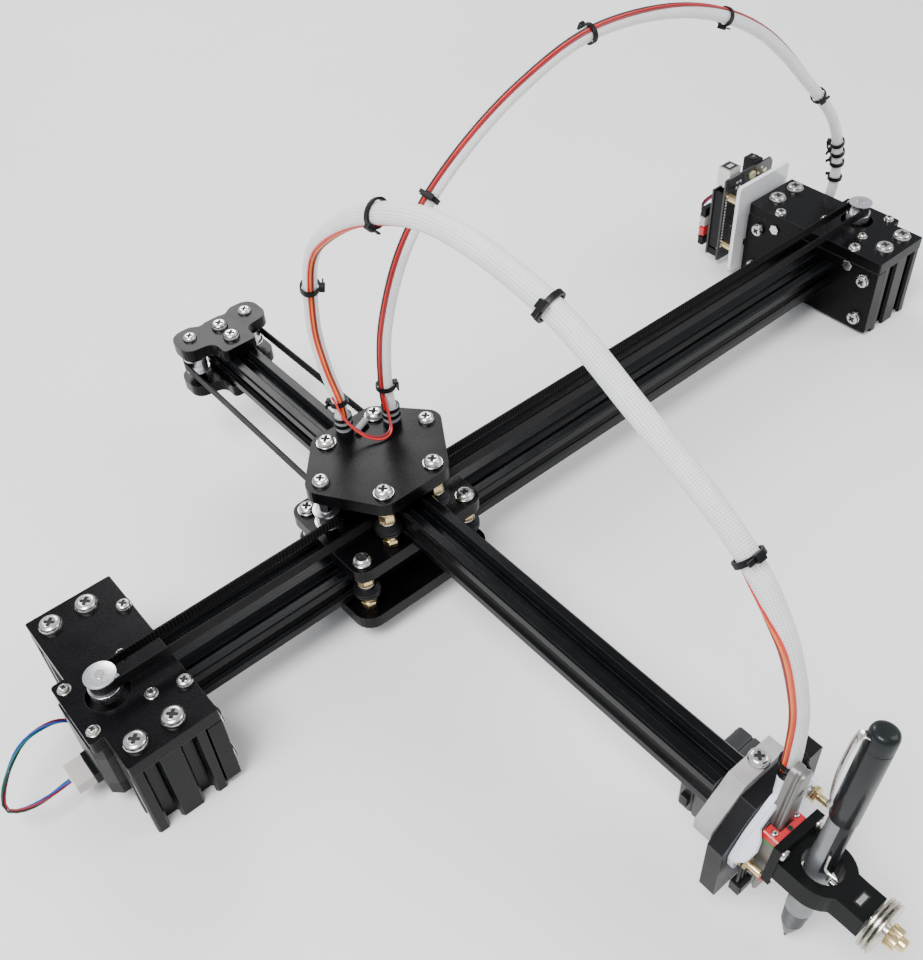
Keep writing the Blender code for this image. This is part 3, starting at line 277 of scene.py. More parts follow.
def braided(name, colour, gap):
    """Braided sleeve: two crossing sets of strands, read from the tube's own coordinates, with painted shade in the
    gaps between them.
    """
    material = finish(name, colour, 0.36, vary=0.04, spot=90)
    tree = material.node_tree
    link = tree.links.new
    shader = tree.nodes["Principled BSDF"]
    split = tree.nodes.new("ShaderNodeSeparateXYZ")
    link(tree.nodes.new("ShaderNodeTexCoord").outputs["UV"], split.inputs["Vector"])
    waves = []
    for sign in (1.0, -1.0):
        along = node(tree, "ShaderNodeMath")
        along.operation = "MULTIPLY"
        along.inputs[1].default_value = sign * 2 * math.pi / 2.4
        link(split.outputs["Y"], along.inputs[0])
        around = node(tree, "ShaderNodeMath")
        around.operation = "MULTIPLY_ADD"
        around.inputs[1].default_value = 2 * math.pi * 11
        link(split.outputs["X"], around.inputs[0])
        link(along.outputs[0], around.inputs[2])
        wave = node(tree, "ShaderNodeMath")
        wave.operation = "SINE"
        link(around.outputs[0], wave.inputs[0])
        waves.append(wave)
    weave = node(tree, "ShaderNodeMath")
    weave.operation = "MULTIPLY"
    link(waves[0].outputs[0], weave.inputs[0])
    link(waves[1].outputs[0], weave.inputs[1])
    # Painted shade: where the strands part, the colour is mixed toward the darker gap colour.
    share = node(tree, "ShaderNodeMapRange")
    share.inputs["From Min"].default_value = -0.55
    share.inputs["From Max"].default_value = 0.1
    share.inputs["To Min"].default_value = 0.5
    share.inputs["To Max"].default_value = 0.0
    link(weave.outputs[0], share.inputs["Value"])
    blend = tree.nodes.new("ShaderNodeMix")
    blend.data_type = "RGBA"
    link(share.outputs["Result"], blend.inputs[0])
    link(shader.inputs["Base Color"].links[0].from_socket, blend.inputs[6])
    blend.inputs[7].default_value = (*gap, 1)
    link(blend.outputs[2], shader.inputs["Base Color"])
    relief = node(tree, "ShaderNodeBump", Strength=0.5, Distance=0.0003)
    link(weave.outputs[0], relief.inputs["Height"])
    link(relief.outputs["Normal"], shader.inputs["Normal"])
    shader.inputs["Subsurface Weight"].default_value = 0.1
    return material


# The second colour is painted shade in the gaps between strands.
SLEEVE = braided("sleeve", (0.86, 0.86, 0.85), (0.42, 0.4, 0.38))
WIRES = {
    "red": finish("wire_red", (0.6, 0.02, 0.015), 0.38),
    "dark_red": finish("wire_dark_red", (0.24, 0.012, 0.02), 0.38),
    "orange": finish("wire_orange", (0.75, 0.2, 0.03), 0.38),
    "black": finish("wire_black", (0.012, 0.012, 0.012), 0.4),
    "blue": finish("wire_blue", (0.02, 0.07, 0.42), 0.4),
    "teal": finish("wire_teal", (0.005, 0.13, 0.11), 0.4),
    "white": finish("wire_white", (0.8, 0.8, 0.78), 0.42),
}


# Mesh building


class Shape:
    """Collects solids in millimetres with a material each, then becomes one object."""

    def __init__(self):
        self.mesh = bmesh.new()
        self.materials = []

    def slot(self, material):
        if material not in self.materials:
            self.materials.append(material)
        return self.materials.index(material)

    def faces(self, made, material):
        index = self.slot(material)
        for face in made:
            face.material_index = index

    def loft(self, rings, material, closed=False, caps=True):
        """Skins equal rings of points. closed joins the last ring to the first."""
        rows = [[self.mesh.verts.new(point) for point in ring] for ring in rings]
        pairs = list(zip(rows, rows[1:] + rows[:1])) if closed else list(zip(rows, rows[1:]))
        made = []
        for a, b in pairs:
            for i in range(len(a)):
                j = (i + 1) % len(a)
                made.append(self.mesh.faces.new((a[i], a[j], b[j], b[i])))
        if caps and not closed:
            made.append(self.mesh.faces.new(list(reversed(rows[0]))))
            made.append(self.mesh.faces.new(rows[-1]))
        self.faces(made, material)

    def turned(self, profile, centre, direction, material, steps=24, closed=False, caps=True):
        """Turns (radius, distance) points about a line. closed makes a ring with a bore."""
        axis = Vector(direction).normalized()
        side = axis.orthogonal().normalized()
        other = axis.cross(side)
        rings = []
        for radius, along in profile:
            base = Vector(centre) + axis * along
            rings.append([
                base + radius * (math.cos(a) * side + math.sin(a) * other)
                for a in (2 * math.pi * i / steps for i in range(steps))
            ])
        self.loft(rings, material, closed, caps)

    def prism(self, outline, low, high, material, matrix=Matrix.Identity(4), chamfer=0.0):
        """Extrudes an XY outline from z low to high and places it, with its rims chamfered."""
        def ring(z, inset):
            centre = sum((Vector(p) for p in outline), Vector((0, 0))) / len(outline)
            points = []
            for p in outline:
                away = Vector(p) - centre
                shorter = away * (1 - inset / max(away.length, 1e-6))
                points.append(matrix @ Vector((*(centre + shorter), z)))
            return points
        levels = [(low, chamfer), (low + chamfer, 0), (high - chamfer, 0), (high, chamfer)] if chamfer else \
            [(low, 0), (high, 0)]
        self.loft([ring(z, inset) for z, inset in levels], material)

    def box(self, low, high, material, matrix=Matrix.Identity(4), chamfer=0.0):
        (x0, y0, z0), (x1, y1, z1) = low, high
        self.prism([(x0, y0), (x1, y0), (x1, y1), (x0, y1)], z0, z1, material, matrix, chamfer)

    def tube(self, path, radius, material, sides=8, widths=None):
        """Round tube along a path; its section never twists. widths stretches it sideways, point by point. Its
        coordinates are the turn round it and millimetres along it."""
        points = [Vector(p) for p in path]
        rings = []
        for i, (along, normal, other) in enumerate(transported(points)):
            wide = widths[i] if widths else 1.0
            rings.append([
                points[i] + radius * (wide * math.cos(a) * normal + math.sin(a) * other)
                for a in (2 * math.pi * k / sides for k in range(sides))
            ])
        before = len(self.mesh.faces)
        self.loft(rings, material)
        if widths:
            self.mesh.faces.ensure_lookup_table()
            layer = self.mesh.loops.layers.uv.verify()
            step = (points[1] - points[0]).length
            for index in range(before, len(self.mesh.faces) - 2):
                row, column = divmod(index - before, sides)
                corners = ((column, row), (column + 1, row), (column + 1, row + 1), (column, row + 1))
                for loop, (u, v) in zip(self.mesh.faces[index].loops, corners):
                    loop[layer].uv = (u / sides, v * step)

    def screw(self, spot, direction, radius, height, socket, material=None, floor=None):
        """Domed head with a cross recess whose floor, painted near-black as shade, lies at the given height."""
        material = material or STEEL
        floor = height * 0.45 if floor is None else floor
        axis = Vector(direction).normalized()
        side = axis.orthogonal().normalized()
        other = axis.cross(side)
        steps = 32

        def ring(r, along, cross=False):
            points = []
            for i in range(steps):
                a = 2 * math.pi * i / steps
                reach = r
                if cross:
                    off = abs((a + math.pi / 4) % (math.pi / 2) - math.pi / 4)
                    reach = min(r / math.cos(off), CROSS_ARM * r / max(math.sin(off), 1e-6))
                points.append(Vector(spot) + axis * along + reach * (math.cos(a) * side + math.sin(a) * other))
            return points
        rings = [ring(radius * 0.9, 0.0), ring(radius, 0.0), ring(radius, height * 0.25),
                 ring(radius * 0.93, height * 0.6), ring(radius * 0.76, height * 0.88), ring(radius * 0.6, height),
                 ring(socket * 1.15, height), ring(socket, height - 0.1, True), ring(socket, floor, True)]
        self.loft(rings, material, caps=False)
        # The recess floor: painted shade.
        pit = [self.mesh.verts.new(p) for p in ring(socket, floor + 0.02, True)]
        self.faces([self.mesh.faces.new(pit)], HOLE_SHADE)

    def nut(self, spot, direction, across, height, material, bore=0.0):
        axis = Vector(direction).normalized()
        side = axis.orthogonal().normalized()
        other = axis.cross(side)
        corner = across / 2 / math.cos(math.pi / 6)

        def ring(r, along):
            return [
                Vector(spot) + axis * along + r * (math.cos(math.pi * i / 3) * side + math.sin(math.pi * i / 3) * other)
                for i in range(6)
            ]
        self.loft([ring(corner * 0.93, 0), ring(corner, height * 0.12), ring(corner, height * 0.88),
                   ring(corner * 0.93, height)], material)

    def done(self, name, body=None, bevel=0.0, smooth=35.0):
        data = bpy.data.meshes.new(name)
        bmesh.ops.recalc_face_normals(self.mesh, faces=self.mesh.faces)
        self.mesh.to_mesh(data)
        self.mesh.free()
        data.transform(Matrix.Scale(MM, 4))
        for material in self.materials:
            data.materials.append(material)
        data.shade_smooth()
        data.set_sharp_from_angle(angle=math.radians(smooth))
        obj = bpy.data.objects.new(name, data)
        bpy.context.scene.collection.objects.link(obj)
        if bevel:
            soft = obj.modifiers.new("edges", "BEVEL")
            soft.width = bevel * MM
            soft.segments = 2
            soft.limit_method = "ANGLE"
            soft.angle_limit = math.radians(40)
        if body:
            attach(obj, body)
        return obj


def transported(points):
    """Tangent, normal and binormal at each point, carried along without twist."""
    frames, normal = [], None
    for i in range(len(points)):
        along = (points[min(i + 1, len(points) - 1)] - points[max(i - 1, 0)]).normalized()
        normal = along.orthogonal() if normal is None else normal - along * normal.dot(along)
        normal = normal.normalized()
        frames.append((along, normal, along.cross(normal)))
    return frames


def curve_through(route, spacing):
    """Evenly spaced points on a smooth curve through a given route."""
    knots = [Vector(point) for point in route]
    knots = [2 * knots[0] - knots[1], *knots, 2 * knots[-1] - knots[-2]]
    dense = []
    for a, b, c, d in zip(knots, knots[1:], knots[2:], knots[3:]):
        for step in range(12):
            t = step / 12
            dense.append(0.5 * (2 * b + (c - a) * t + (2 * a - 5 * b + 4 * c - d) * t ** 2
                                + (3 * b - 3 * c + d - a) * t ** 3))
    dense.append(knots[-2])
    return even(dense, spacing)


def even(dense, spacing):
    length = sum((q - p).length for p, q in zip(dense, dense[1:]))
    count = max(2, round(length / spacing))
    points, walked, target = [dense[0]], 0.0, length / count
    for p, q in zip(dense, dense[1:]):
        step = (q - p).length
        while walked + step >= target and len(points) < count:
            points.append(p.lerp(q, (target - walked) / step))
            target += length / count
        walked += step
    return points + [dense[-1]]


def strands(path, count, offset, pitch):
    """Paths of wires that twist round a centre line, offset from it, one turn per pitch of length."""
    walked = 0.0
    bundles = [[] for _ in range(count)]
    for i, (along, normal, other) in enumerate(transported(path)):
        if i:
            walked += (path[i] - path[i - 1]).length
        for k in range(count):
            a = 2 * math.pi * (k / count + walked / pitch)
            bundles[k].append(path[i] + offset * (math.cos(a) * normal + math.sin(a) * other))
    return bundles


# Free cord: the left motor's lead


def motor_lead():
    """Four twisted wires from the motor's plug, round the bracket and below the beam to the board."""
    start_x = -MOTOR_X - 21.15 - 3.0 - 10.1
    socket_z = 17.7
    floor = 1.4
    route = [
        (start_x, -11.1, socket_z), (start_x - 14, -12.6, socket_z + 0.5), (start_x - 25, -11.6, socket_z + 2),
        (start_x - 31, -6.1, 21.0), (start_x - 25, 2.9, 27.0), (start_x - 10, 11.9, 34.0), (-324.0, 16.0, 31.0),
        (-312.0, 18.0, 19.0), (-298.0, 19.0, 6.0), (-280.0, 16.0, floor), (-262.0, 17.0, floor),
        (-225.0, 25.0, floor), (-150.0, 31.0, floor),
        (-60.0, 27.0, floor), (50.0, 31.0, floor), (150.0, 28.0, floor), (225.0, 23.0, floor),
        (262.0, 17.0, floor), (286.0, 20.0, floor), (304.0, 27.0, 3.0), (313.0, 40.0, 6.0), (313.0, 62.0, 10.0),
        (308.5, 82.0, 14.0),
    ]
    centre = curve_through([(x, y + BEAM_Y, z) for x, y, z in route], 4.0)
    shape = Shape()
    for path, colour in zip(strands(centre, 4, 0.78, 70.0), ("dark_red", "blue", "teal", "black")):
        shape.tube(path, 0.55, WIRES[colour], 6)
    lead = shape.done("motor_lead_wires", "frame")
    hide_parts("motor_lead")


motor_lead()


# Sleeves over the machine


def sleeve(name, cad_node, route, ties, colours, width, turn):
    """Braided sleeve with a flat ribbon of wires along it and black ties round both, on a fixed curve between two
    bodies.
    width gives the sleeve's half width along its length, and turn the angle where the ribbon lies."""
    centre = curve_through([(x, y + BEAM_Y, z) for x, y, z in route], 3.0)
    count = len(centre) - 1
    shape = Shape()
    shape.tube(centre, 3.7, SLEEVE, 16, widths=[width(i / count) for i in range(count + 1)])
    frames = transported(centre)
    for k, colour in enumerate(colours):
        path = []
        for i, (along, normal, other) in enumerate(frames):
            share = i / count
            angle = turn(share) + (k - (len(colours) - 1) / 2) * 0.3
            path.append(centre[i] + 3.75 * (width(share) * math.cos(angle) * normal + math.sin(angle) * other))
        shape.tube(path, 0.6, WIRES[colour], 6)
    for share in ties:
        i = min(count - 2, max(2, round(share * count)))
        along, normal, other = frames[i]
        wide = width(share)
        rings = []
        for radius, level in ((4.3, -1.3), (5.2, -1.3), (5.2, 1.3), (4.3, 1.3)):
            rings.append([
                centre[i] + level * along
                + radius * (wide * math.cos(a) * normal + math.sin(a) * other)
                for a in (2 * math.pi * step / 20 for step in range(20))
            ])
        shape.loft(rings, BLACK, closed=True)
        place = Matrix((normal, other, along)).transposed().to_4x4()
        place.translation = centre[i]
        lump = Matrix.Rotation(0.6 + share * 25.0, 4, "Z")
        reach = 4.4 * max(1.0, wide * 0.9)
        shape.box((reach, -2.0, -1.8), (reach + 2.6, 2.0, 1.8), BLACK, place @ lump, 0.3)
        shape.box((reach + 0.8, 2.0, -1.0), (reach + 1.6, 5.5, 1.0), BLACK, place @ lump)
    made = shape.done(name)
    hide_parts(cad_node)
    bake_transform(made)
    return made


BEAM_ROUTE = [
    (313.0, 62.0, 28.0), (313.2, 50.0, 30.0), (313.2, 32.0, 40.0), (313.2, 24.0, 62.0), (311.5, 23.8, 92.0),
    (297.0, 23.6, 124.0), (265.0, 23.0, 158.0), (199.0, 22.0, 216.0), (131.0, 21.0, 250.0), (59.0, 20.0, 263.0),
    (5.0, 19.3, 252.0), (-42.0, 18.7, 228.0), (-74.0, 18.0, 199.0), (-92.0, 17.8, 161.0), (-97.5, 17.6, 125.0),
    (-96.5, 17.6, 96.3),
]
ARM_ROUTE = [
    (-120.3, 29.5, 96.6), (-120.4, 30.5, 115.0), (-120.6, 38.0, 134.0), (-120.4, 42.5, 160.0),
    (-120.0, 35.0, 200.0), (-119.0, 18.0, 224.0), (-117.0, -17.0, 249.0), (-115.0, -66.0, 264.0),
    (-113.0, -125.0, 256.0), (-110.5, -172.0, 230.0), (-108.5, -218.0, 201.0), (-107.0, -243.0, 172.0),
    (-105.0, -256.5, 136.0), (-103.6, -259.8, 105.0), (-103.0, -259.9, 80.6),
]


def blended(stops, share):
    """Value at a share of the length, eased between (share, value) stops."""
    for (a, low), (b, high) in zip(stops, stops[1:]):
        if share <= b:
            u = (share - a) / (b - a)
            return low + (high - low) * u * u * (3 - 2 * u)
    return stops[-1][1]


def beam_half_width(share):
    return 1.05


def beam_ribbon(share):
    """Where the ribbon lies round the sleeve: out of sight at the controller, then along its left flank."""
    return blended([(0.0, 2.2), (0.25, 2.9), (0.42, 2.3), (0.6, 1.9), (0.8, 2.2), (1.0, 2.1)], share)


def arm_half_width(share):
    return 1.0 + 0.45 * math.sin(math.pi * share)


def arm_ribbon(share):
    """Along the left flank up from the carriage, under the sleeve over the top and out again near the head."""
    return blended([(0.0, 3.75), (0.15, 3.5), (0.25, 3.3), (0.4, 4.2), (0.75, 4.2), (0.85, 2.3), (1.0, 2.9)], share)


sleeve("sleeve_beam", "cable_beam", BEAM_ROUTE,
       (0.105, 0.12, 0.135, 0.15, 0.24, 0.45, 0.62, 0.8, 0.965), ("dark_red", "red", "black"),
       beam_half_width, beam_ribbon)
sleeve("sleeve_arm", "cable_arm", ARM_ROUTE,
       (0.035, 0.17, 0.35, 0.55, 0.77, 0.975), ("red", "orange", "dark_red"),
       arm_half_width, arm_ribbon)




def feet_of_sleeves():
    """Grey tube ends under both sleeves, ties round them, and a pair of wires that hangs from one to the other."""
    shape = Shape()
    top = 96.2
    for x, y in ((-96.5, 17.6), (-120.3, 29.5)):
        shape.turned([(4.0, top), (4.7, top + 0.1), (4.7, top + 9.0), (3.9, top + 9.2)], (x, y + BEAM_Y, 0), (0, 0, 1),
                     TUBE_GREY, 24, closed=True)
        for level in (3.0, 7.4):
            shape.turned([(4.6, top + level), (5.3, top + level), (5.3, top + level + 1.9), (4.6, top + level + 1.9)],
                         (x, y + BEAM_Y, 0), (0, 0, 1), BLACK, 24, closed=True)
    shape.tube([Vector((-117.5, 21.0 + BEAM_Y, top + 2.0)), Vector((-109.0, 24.5 + BEAM_Y, top + 2.0))], 1.9,
               TUBE_GREY, 14)
    for i, colour in enumerate(("red", "dark_red")):
        rise = top + 1.0 + 1.2 * i
        loop = [(-125.4, 26.5 + i, rise + 24.0), (-123.8, 20.5 + i, rise + 12.0), (-118.5, 12.6 + i, rise + 3.0),
                (-111.5, 6.8 + i, rise), (-104.5, 7.2 + i, rise + 1.0), (-101.8, 11.4 + i, rise + 8.0),
                (-101.4, 13.8 + i, rise + 19.0)]
        shape.tube(curve_through([(x, y + BEAM_Y, z) for x, y, z in loop], 1.2), 0.6, WIRES[colour], 8)
    shape.done("sleeve_feet", "carriage")


feet_of_sleeves()


# Belts


def belt_route(stops):
    """Centre line of a belt over stops (x, y, radius, turn); turn is 1 round an anticlockwise bend and 0 at an end."""
    headings = []
    for (x0, y0, r0, t0), (x1, y1, r1, t1) in zip(stops, stops[1:]):
        span = Vector((x1 - x0, y1 - y0))
        offset = max(-1.0, min(1.0, (t1 * r1 - t0 * r0) / span.length))
        headings.append(math.atan2(span.y, span.x) - math.asin(offset))
    points = []
    for i, (x, y, radius, turn) in enumerate(stops):
        before = headings[max(i - 1, 0)]
        after = headings[min(i, len(headings) - 1)]
        sweep = (after - before + math.pi) % (2 * math.pi) - math.pi if turn else 0
        if turn and turn * sweep < 0:
            sweep += turn * 2 * math.pi
        steps = max(1, round(abs(sweep) / math.radians(12))) if turn else 0
        for step in range(steps + 1):
            heading = before + (sweep * step / steps if steps else 0)
            points.append(Vector((x + turn * radius * math.sin(heading), y - turn * radius * math.cos(heading))))
    return points


def belt(name, stops, teeth_side, cad_node):
    """Toothed belt on edge: a smooth band with a rounded tooth every two millimetres on its inner side."""
    path = even([p.to_3d() for p in belt_route(stops)], 1.0)
    shape = Shape()
    sections = []
    for i, point in enumerate(path):
        along = (path[min(i + 1, len(path) - 1)] - path[max(i - 1, 0)]).normalized()
        inner = Vector((-along.y, along.x, 0)) * teeth_side
        tooth = 0.75 if i % 2 else 0.15
        sections.append([
            point + inner * depth + Vector((0, 0, BELT_Z + rise))
            for depth, rise in ((-0.6, -3.0), (tooth, -3.0), (tooth, 3.0), (-0.6, 3.0))
        ])
    shape.loft(sections, RUBBER)
    made = shape.done(name, smooth=25)
    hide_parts(cad_node)
    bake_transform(made)


def belts():
    for label, side in (("left", -1), ("right", 1)):
        inner = on_carriage(side * (Y_AXLE[0] - 8.4), -Y_AXLE[1] - 1.0)
        wheel_stop = (*on_carriage(side * Y_AXLE[0], -Y_AXLE[1]), 8.4, -side)
        wing_stop = (*on_carriage(side * WING[0], WING[1]), 7.4, -side)
        wing_exit = on_carriage(side * (WING[0] - 7.4), WING[1] + 1.0)
        belt(f"toothed_belt_arm_{label}", [(inner[0], -166.3, 0, 0), (inner[0], inner[1] - 0.3, 0, 0)], side,
             f"belt_arm_{label}")
        belt(f"toothed_belt_beam_{label}",
             [(*inner, 0, 0), wheel_stop, (side * MOTOR_X, MOTOR_Y, 6.37, side), wing_stop, (*wing_exit, 0, 0)], side,
             f"belt_beam_{label}")
    exits = [on_carriage(side * (WING[0] - 7.4), WING[1] + 1.3) for side in (-1, 1)]
    rear = [(*on_carriage(side * REAR_IDLER[0], REAR_IDLER[1]), 7.4, -1) for side in (-1, 1)]
    belt("toothed_belt_rear", [(*exits[0], 0, 0), *rear, (*exits[1], 0, 0)], -1, "belt_rear")


belts()


# Frame: fasteners, pulleys


def frame_fasteners():
    shape = Shape()
    for side in (-1, 1):
        for y in (-45.6, 45.6):
            for a in (-3.2, 16.8):
                shape.screw((inward(side, a), BEAM_Y + y, DECK_TOP), (0, 0, 1), 6.3, 3.5, 2.9, floor=2.8)
            for z in (12.0, 43.3):
                shape.screw((inward(side, 35.0), BEAM_Y + y, z), (-side, 0, 0), 5.2, 3.3, 2.5, floor=2.68)
        for y in (-31.5, 31.5):
            shape.screw((inward(side, 31.0), BEAM_Y + y, DECK_TOP), (0, 0, 1), 4.2, 2.9, 2.1, floor=2.28)
            shape.nut((inward(side, 35.0), BEAM_Y + y, 49.6), (-side, 0, 0), 6.8, 1.4, STEEL)
        for y in (-10, 10):
            shape.screw((inward(side, 27.0), BEAM_Y + y, BEAM_Z), (side, 0, 0), 5.2, 3.3, 2.5, floor=2.68)
        for u, v in ((-1, -1), (1, -1), (1, 1), (-1, 1)):
            spot = (inward(side, 15.5 * u), MOTOR_Y + 15.5 * v, DECK_TOP)
            shape.turned([(3.5, 0.0), (3.5, 0.5)], spot, (0, 0, 1), STEEL, 20)
            shape.screw((*spot[:2], DECK_TOP + 0.5), (0, 0, 1), 2.9, 2.2, 1.6, floor=1.2)
    shape.done("frame_fasteners", "frame")


def pulleys():
    """Toothed pulleys with two flanges, a hub with its grub screw and the flat of the motor's shaft."""
    for label, side in (("left", -1), ("right", 1)):
        centre = (inward(side, 0), MOTOR_Y)
        shape = Shape()
        teeth = []
        for level in (67.9, 74.7):
            ring = []
            for i in range(80):
                a = 2 * math.pi * i / 80
                reach = 5.95 if i % 4 in (0, 1) else 5.2
                ring.append((centre[0] + reach * math.cos(a), centre[1] + reach * math.sin(a), level))
            teeth.append(ring)
        shape.loft(teeth, ALUMINIUM)
        hub = [(2.6, 61.6), (7.7, 61.6), (8.0, 62.0), (8.0, 67.0), (7.6, 67.3), (8.0, 67.4), (8.0, 68.0), (5.3, 68.2)]
        shape.turned([(r, z) for r, z in hub], (*centre, 0), (0, 0, 1), ALUMINIUM, 32)
        shape.turned([(5.3, 74.5), (8.0, 74.7), (8.0, 75.4), (7.0, 75.7), (2.7, 75.7)], (*centre, 0), (0, 0, 1),
                     ALUMINIUM, 32)
        shaft = []
        for level in (55.4, 76.4):
            ring = []
            for i in range(24):
                a = 2 * math.pi * i / 24
                ring.append((centre[0] + max(-2.0, 2.5 * math.cos(a)), centre[1] + 2.5 * math.sin(a), level))
            shaft.append(ring)
        shape.loft(shaft, STEEL)
        shape.turned([(1.5, 7.2), (1.5, 8.05)], (*centre, 64.5), (0.8 * side, -1, 0), DARK_STEEL, 12)
        made = shape.done(f"toothed_pulley_{label}", f"drive_pulley_{label}")
        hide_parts(f"drive_pulley_{label}")


frame_fasteners()
pulleys()


# Carriage


def wheel(name, centre, body):
    """V-edged wheel with a bearing in it."""
    shape = Shape()
    tread = [(5.2, 4.4), (5.6, 4.4), (6.6, 2.9), (7.6, 1.5), (7.6, 0.5), (6.9, 0.25), (6.9, -0.25), (7.6, -0.5),
             (7.6, -1.5), (6.6, -2.9), (5.6, -4.4), (5.2, -4.4)]
    shape.turned(tread, centre, (0, 0, 1), WHEEL, 36, closed=True)
    for side in (-1, 1):
        race = [(2.95, 0.4 * side), (5.2, 0.4 * side), (5.2, 4.15 * side), (4.5, 4.15 * side), (4.4, 3.9 * side),
                (3.5, 3.9 * side), (3.4, 4.15 * side), (2.95, 4.15 * side)]
        shape.turned(race, centre, (0, 0, 1), STEEL, 28, closed=True)
    made = shape.done(name + "_detail", body)
    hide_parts(name)


def idler(name, body, centre):
    """Two flanged bearings back to back."""
    shape = Shape()
    for side in (-1, 1):
        race = [(2.3, 0.1 * side), (6.5, 0.1 * side), (6.5, 4.0 * side), (7.5, 4.0 * side), (7.5, 5.0 * side),
                (5.6, 5.0 * side), (5.5, 4.6 * side), (3.7, 4.6 * side), (3.6, 5.0 * side), (2.3, 5.0 * side)]
        shape.turned(race, centre, (0, 0, 1), ALUMINIUM, 32, closed=True)
    made = shape.done(name + "_detail", body)
    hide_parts(name)


def bolt(shape, centre, levels, nut_low):
    """Bolt through both plates: button head, spacers above and below its wheel, washer and nut."""
    head, wheel_top, wheel_low, lower_top, low = levels
    x, y = centre
    shape.turned([(5.4, head), (5.4, head + 0.8)], (x, y, 0), (0, 0, 1), STEEL, 24)
    shape.screw((x, y, head + 0.8), (0, 0, 1), 4.85, 2.8, 2.5, floor=1.6)
    shape.turned([(2.5, low), (2.5, head + 0.4)], (x, y, 0), (0, 0, 1), STEEL, 16)
    spacer = head - PLATE - wheel_top
    shape.turned([(4.9, wheel_top), (4.9, wheel_top + 0.9)], (x, y, 0), (0, 0, 1), STEEL, 24)
    shape.nut((x, y, wheel_top + 0.9), (0, 0, 1), 8.2, spacer * 0.5 - 0.9, BRASS)
    shape.turned([(3.6, wheel_top + spacer * 0.5), (4.3, wheel_top + spacer * 0.56), (4.3, wheel_top + spacer - 0.4)],
                 (x, y, 0), (0, 0, 1), BRASS, 20)
    if lower_top:
        gap = wheel_low - lower_top
        shape.nut((x, y, lower_top), (0, 0, 1), 8.0, gap * 0.55, BRASS)
        shape.turned([(3.6, lower_top + gap * 0.5), (3.6, wheel_low)], (x, y, 0), (0, 0, 1), BRASS, 20)
    shape.nut((x, y, nut_low), (0, 0, 1), 8.0, 4.0, STEEL)
    shape.turned([(3.4, nut_low - 0.9), (3.7, nut_low)], (x, y, 0), (0, 0, 1), WIRES["blue"], 16)


def carriage():
    for label, (u, v) in CORNERS.items():
        x, y = on_carriage(u * X_AXLE[0], v * X_AXLE[1])
        shape = Shape()
        bolt(shape, (x, y), (57.8, 40.3, 30.7, 21.3, 6.8), 8.8)
        made = shape.done(f"x_bolt_{label}", "carriage")
        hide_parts(f"x_axle_{label}")
        wheel(f"x_wheel_{label}", (x, y, BEAM_Z), f"x_wheel_{label}")
        x, y = on_carriage(u * Y_AXLE[0], v * Y_AXLE[1])
        shape = Shape()
        bolt(shape, (x, y), (96.3, 76.1, 66.5, 57.8, 44.0), 45.4)
        made = shape.done(f"y_bolt_{label}", "carriage")
        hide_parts(f"y_axle_{label}")
        wheel(f"y_wheel_{label}", (x, y, BELT_Z), f"y_wheel_{label}")
    for label, side in (("left", -1), ("right", 1)):
        idler(f"wing_idler_{label}", f"wing_idler_{label}", (*on_carriage(side * WING[0], WING[1]), BELT_Z))
        idler(f"rear_idler_{label}", f"rear_idler_{label}",
              (*on_carriage(side * REAR_IDLER[0], REAR_IDLER[1]), BELT_Z))
    shape = Shape()
    for side in (-1, 1):
        spot = on_carriage(side * WING[0], WING[1])
        shape.screw((*spot, 96.0), (0, 0, 1), 4.8, 3.2, 2.2, floor=2.4)
    shape.done("wing_screws", "carriage")
    shape = Shape()
    for y in (166.9, 152.9):
        shape.screw((*on_carriage(0, y), 89.3), (0, 0, 1), 5.2, 3.3, 2.5, floor=2.68)
    for side in (-1, 1):
        spot = on_carriage(side * REAR_IDLER[0], REAR_IDLER[1])
        shape.screw((*spot, 89.3), (0, 0, 1), 4.3, 2.6, 2.1, floor=1.4)
        shape.nut((*spot, 50.2), (0, 0, 1), 7.0, 3.2, STEEL)
    shape.done("rear_screws", "arm")


carriage()


# Head


def screws_on_rail(shape):
    """The rail: a tombstone-topped bar with grooved sides and counterbored screw holes."""
    half, back, front = 4.5, -263.9, -270.4
    section = [(-half, back), (half, back), (half, -266.5), (3.5, -267.3), (3.5, -268.1), (half, -268.9),
               (half, front + 0.5), (half - 0.5, front), (-half + 0.5, front), (-half, front + 0.5), (-half, -268.9),
               (-3.5, -268.1), (-3.5, -267.3), (-half, -266.5)]
    rings = []
    for level, width in ((-40, 0.9), (-39.6, 1.0), (36.0, 1.0), (38.2, 0.86), (39.5, 0.6), (40.0, 0.3)):
        rings.append([LIFT @ Vector((x * width, y, level)) for x, y in section])
    shape.loft(rings, RAIL)
    for level in (-32.5, -12.5, 7.5, 27.5):
        spot = LIFT @ Vector((0, front - 0.02, level))
        shape.turned([(1.9, 0.05), (2.9, 0.05), (3.05, 0.0), (2.9, -0.3), (1.9, -0.3)], spot, (0, -1, 0), DARK_STEEL, 24,
                     closed=True)
        # Painted shade in the screw head's socket.
        shape.turned([(1.95, -0.2), (1.95, 0.04)], spot, (0, -1, 0), HOLE_SHADE, 20)


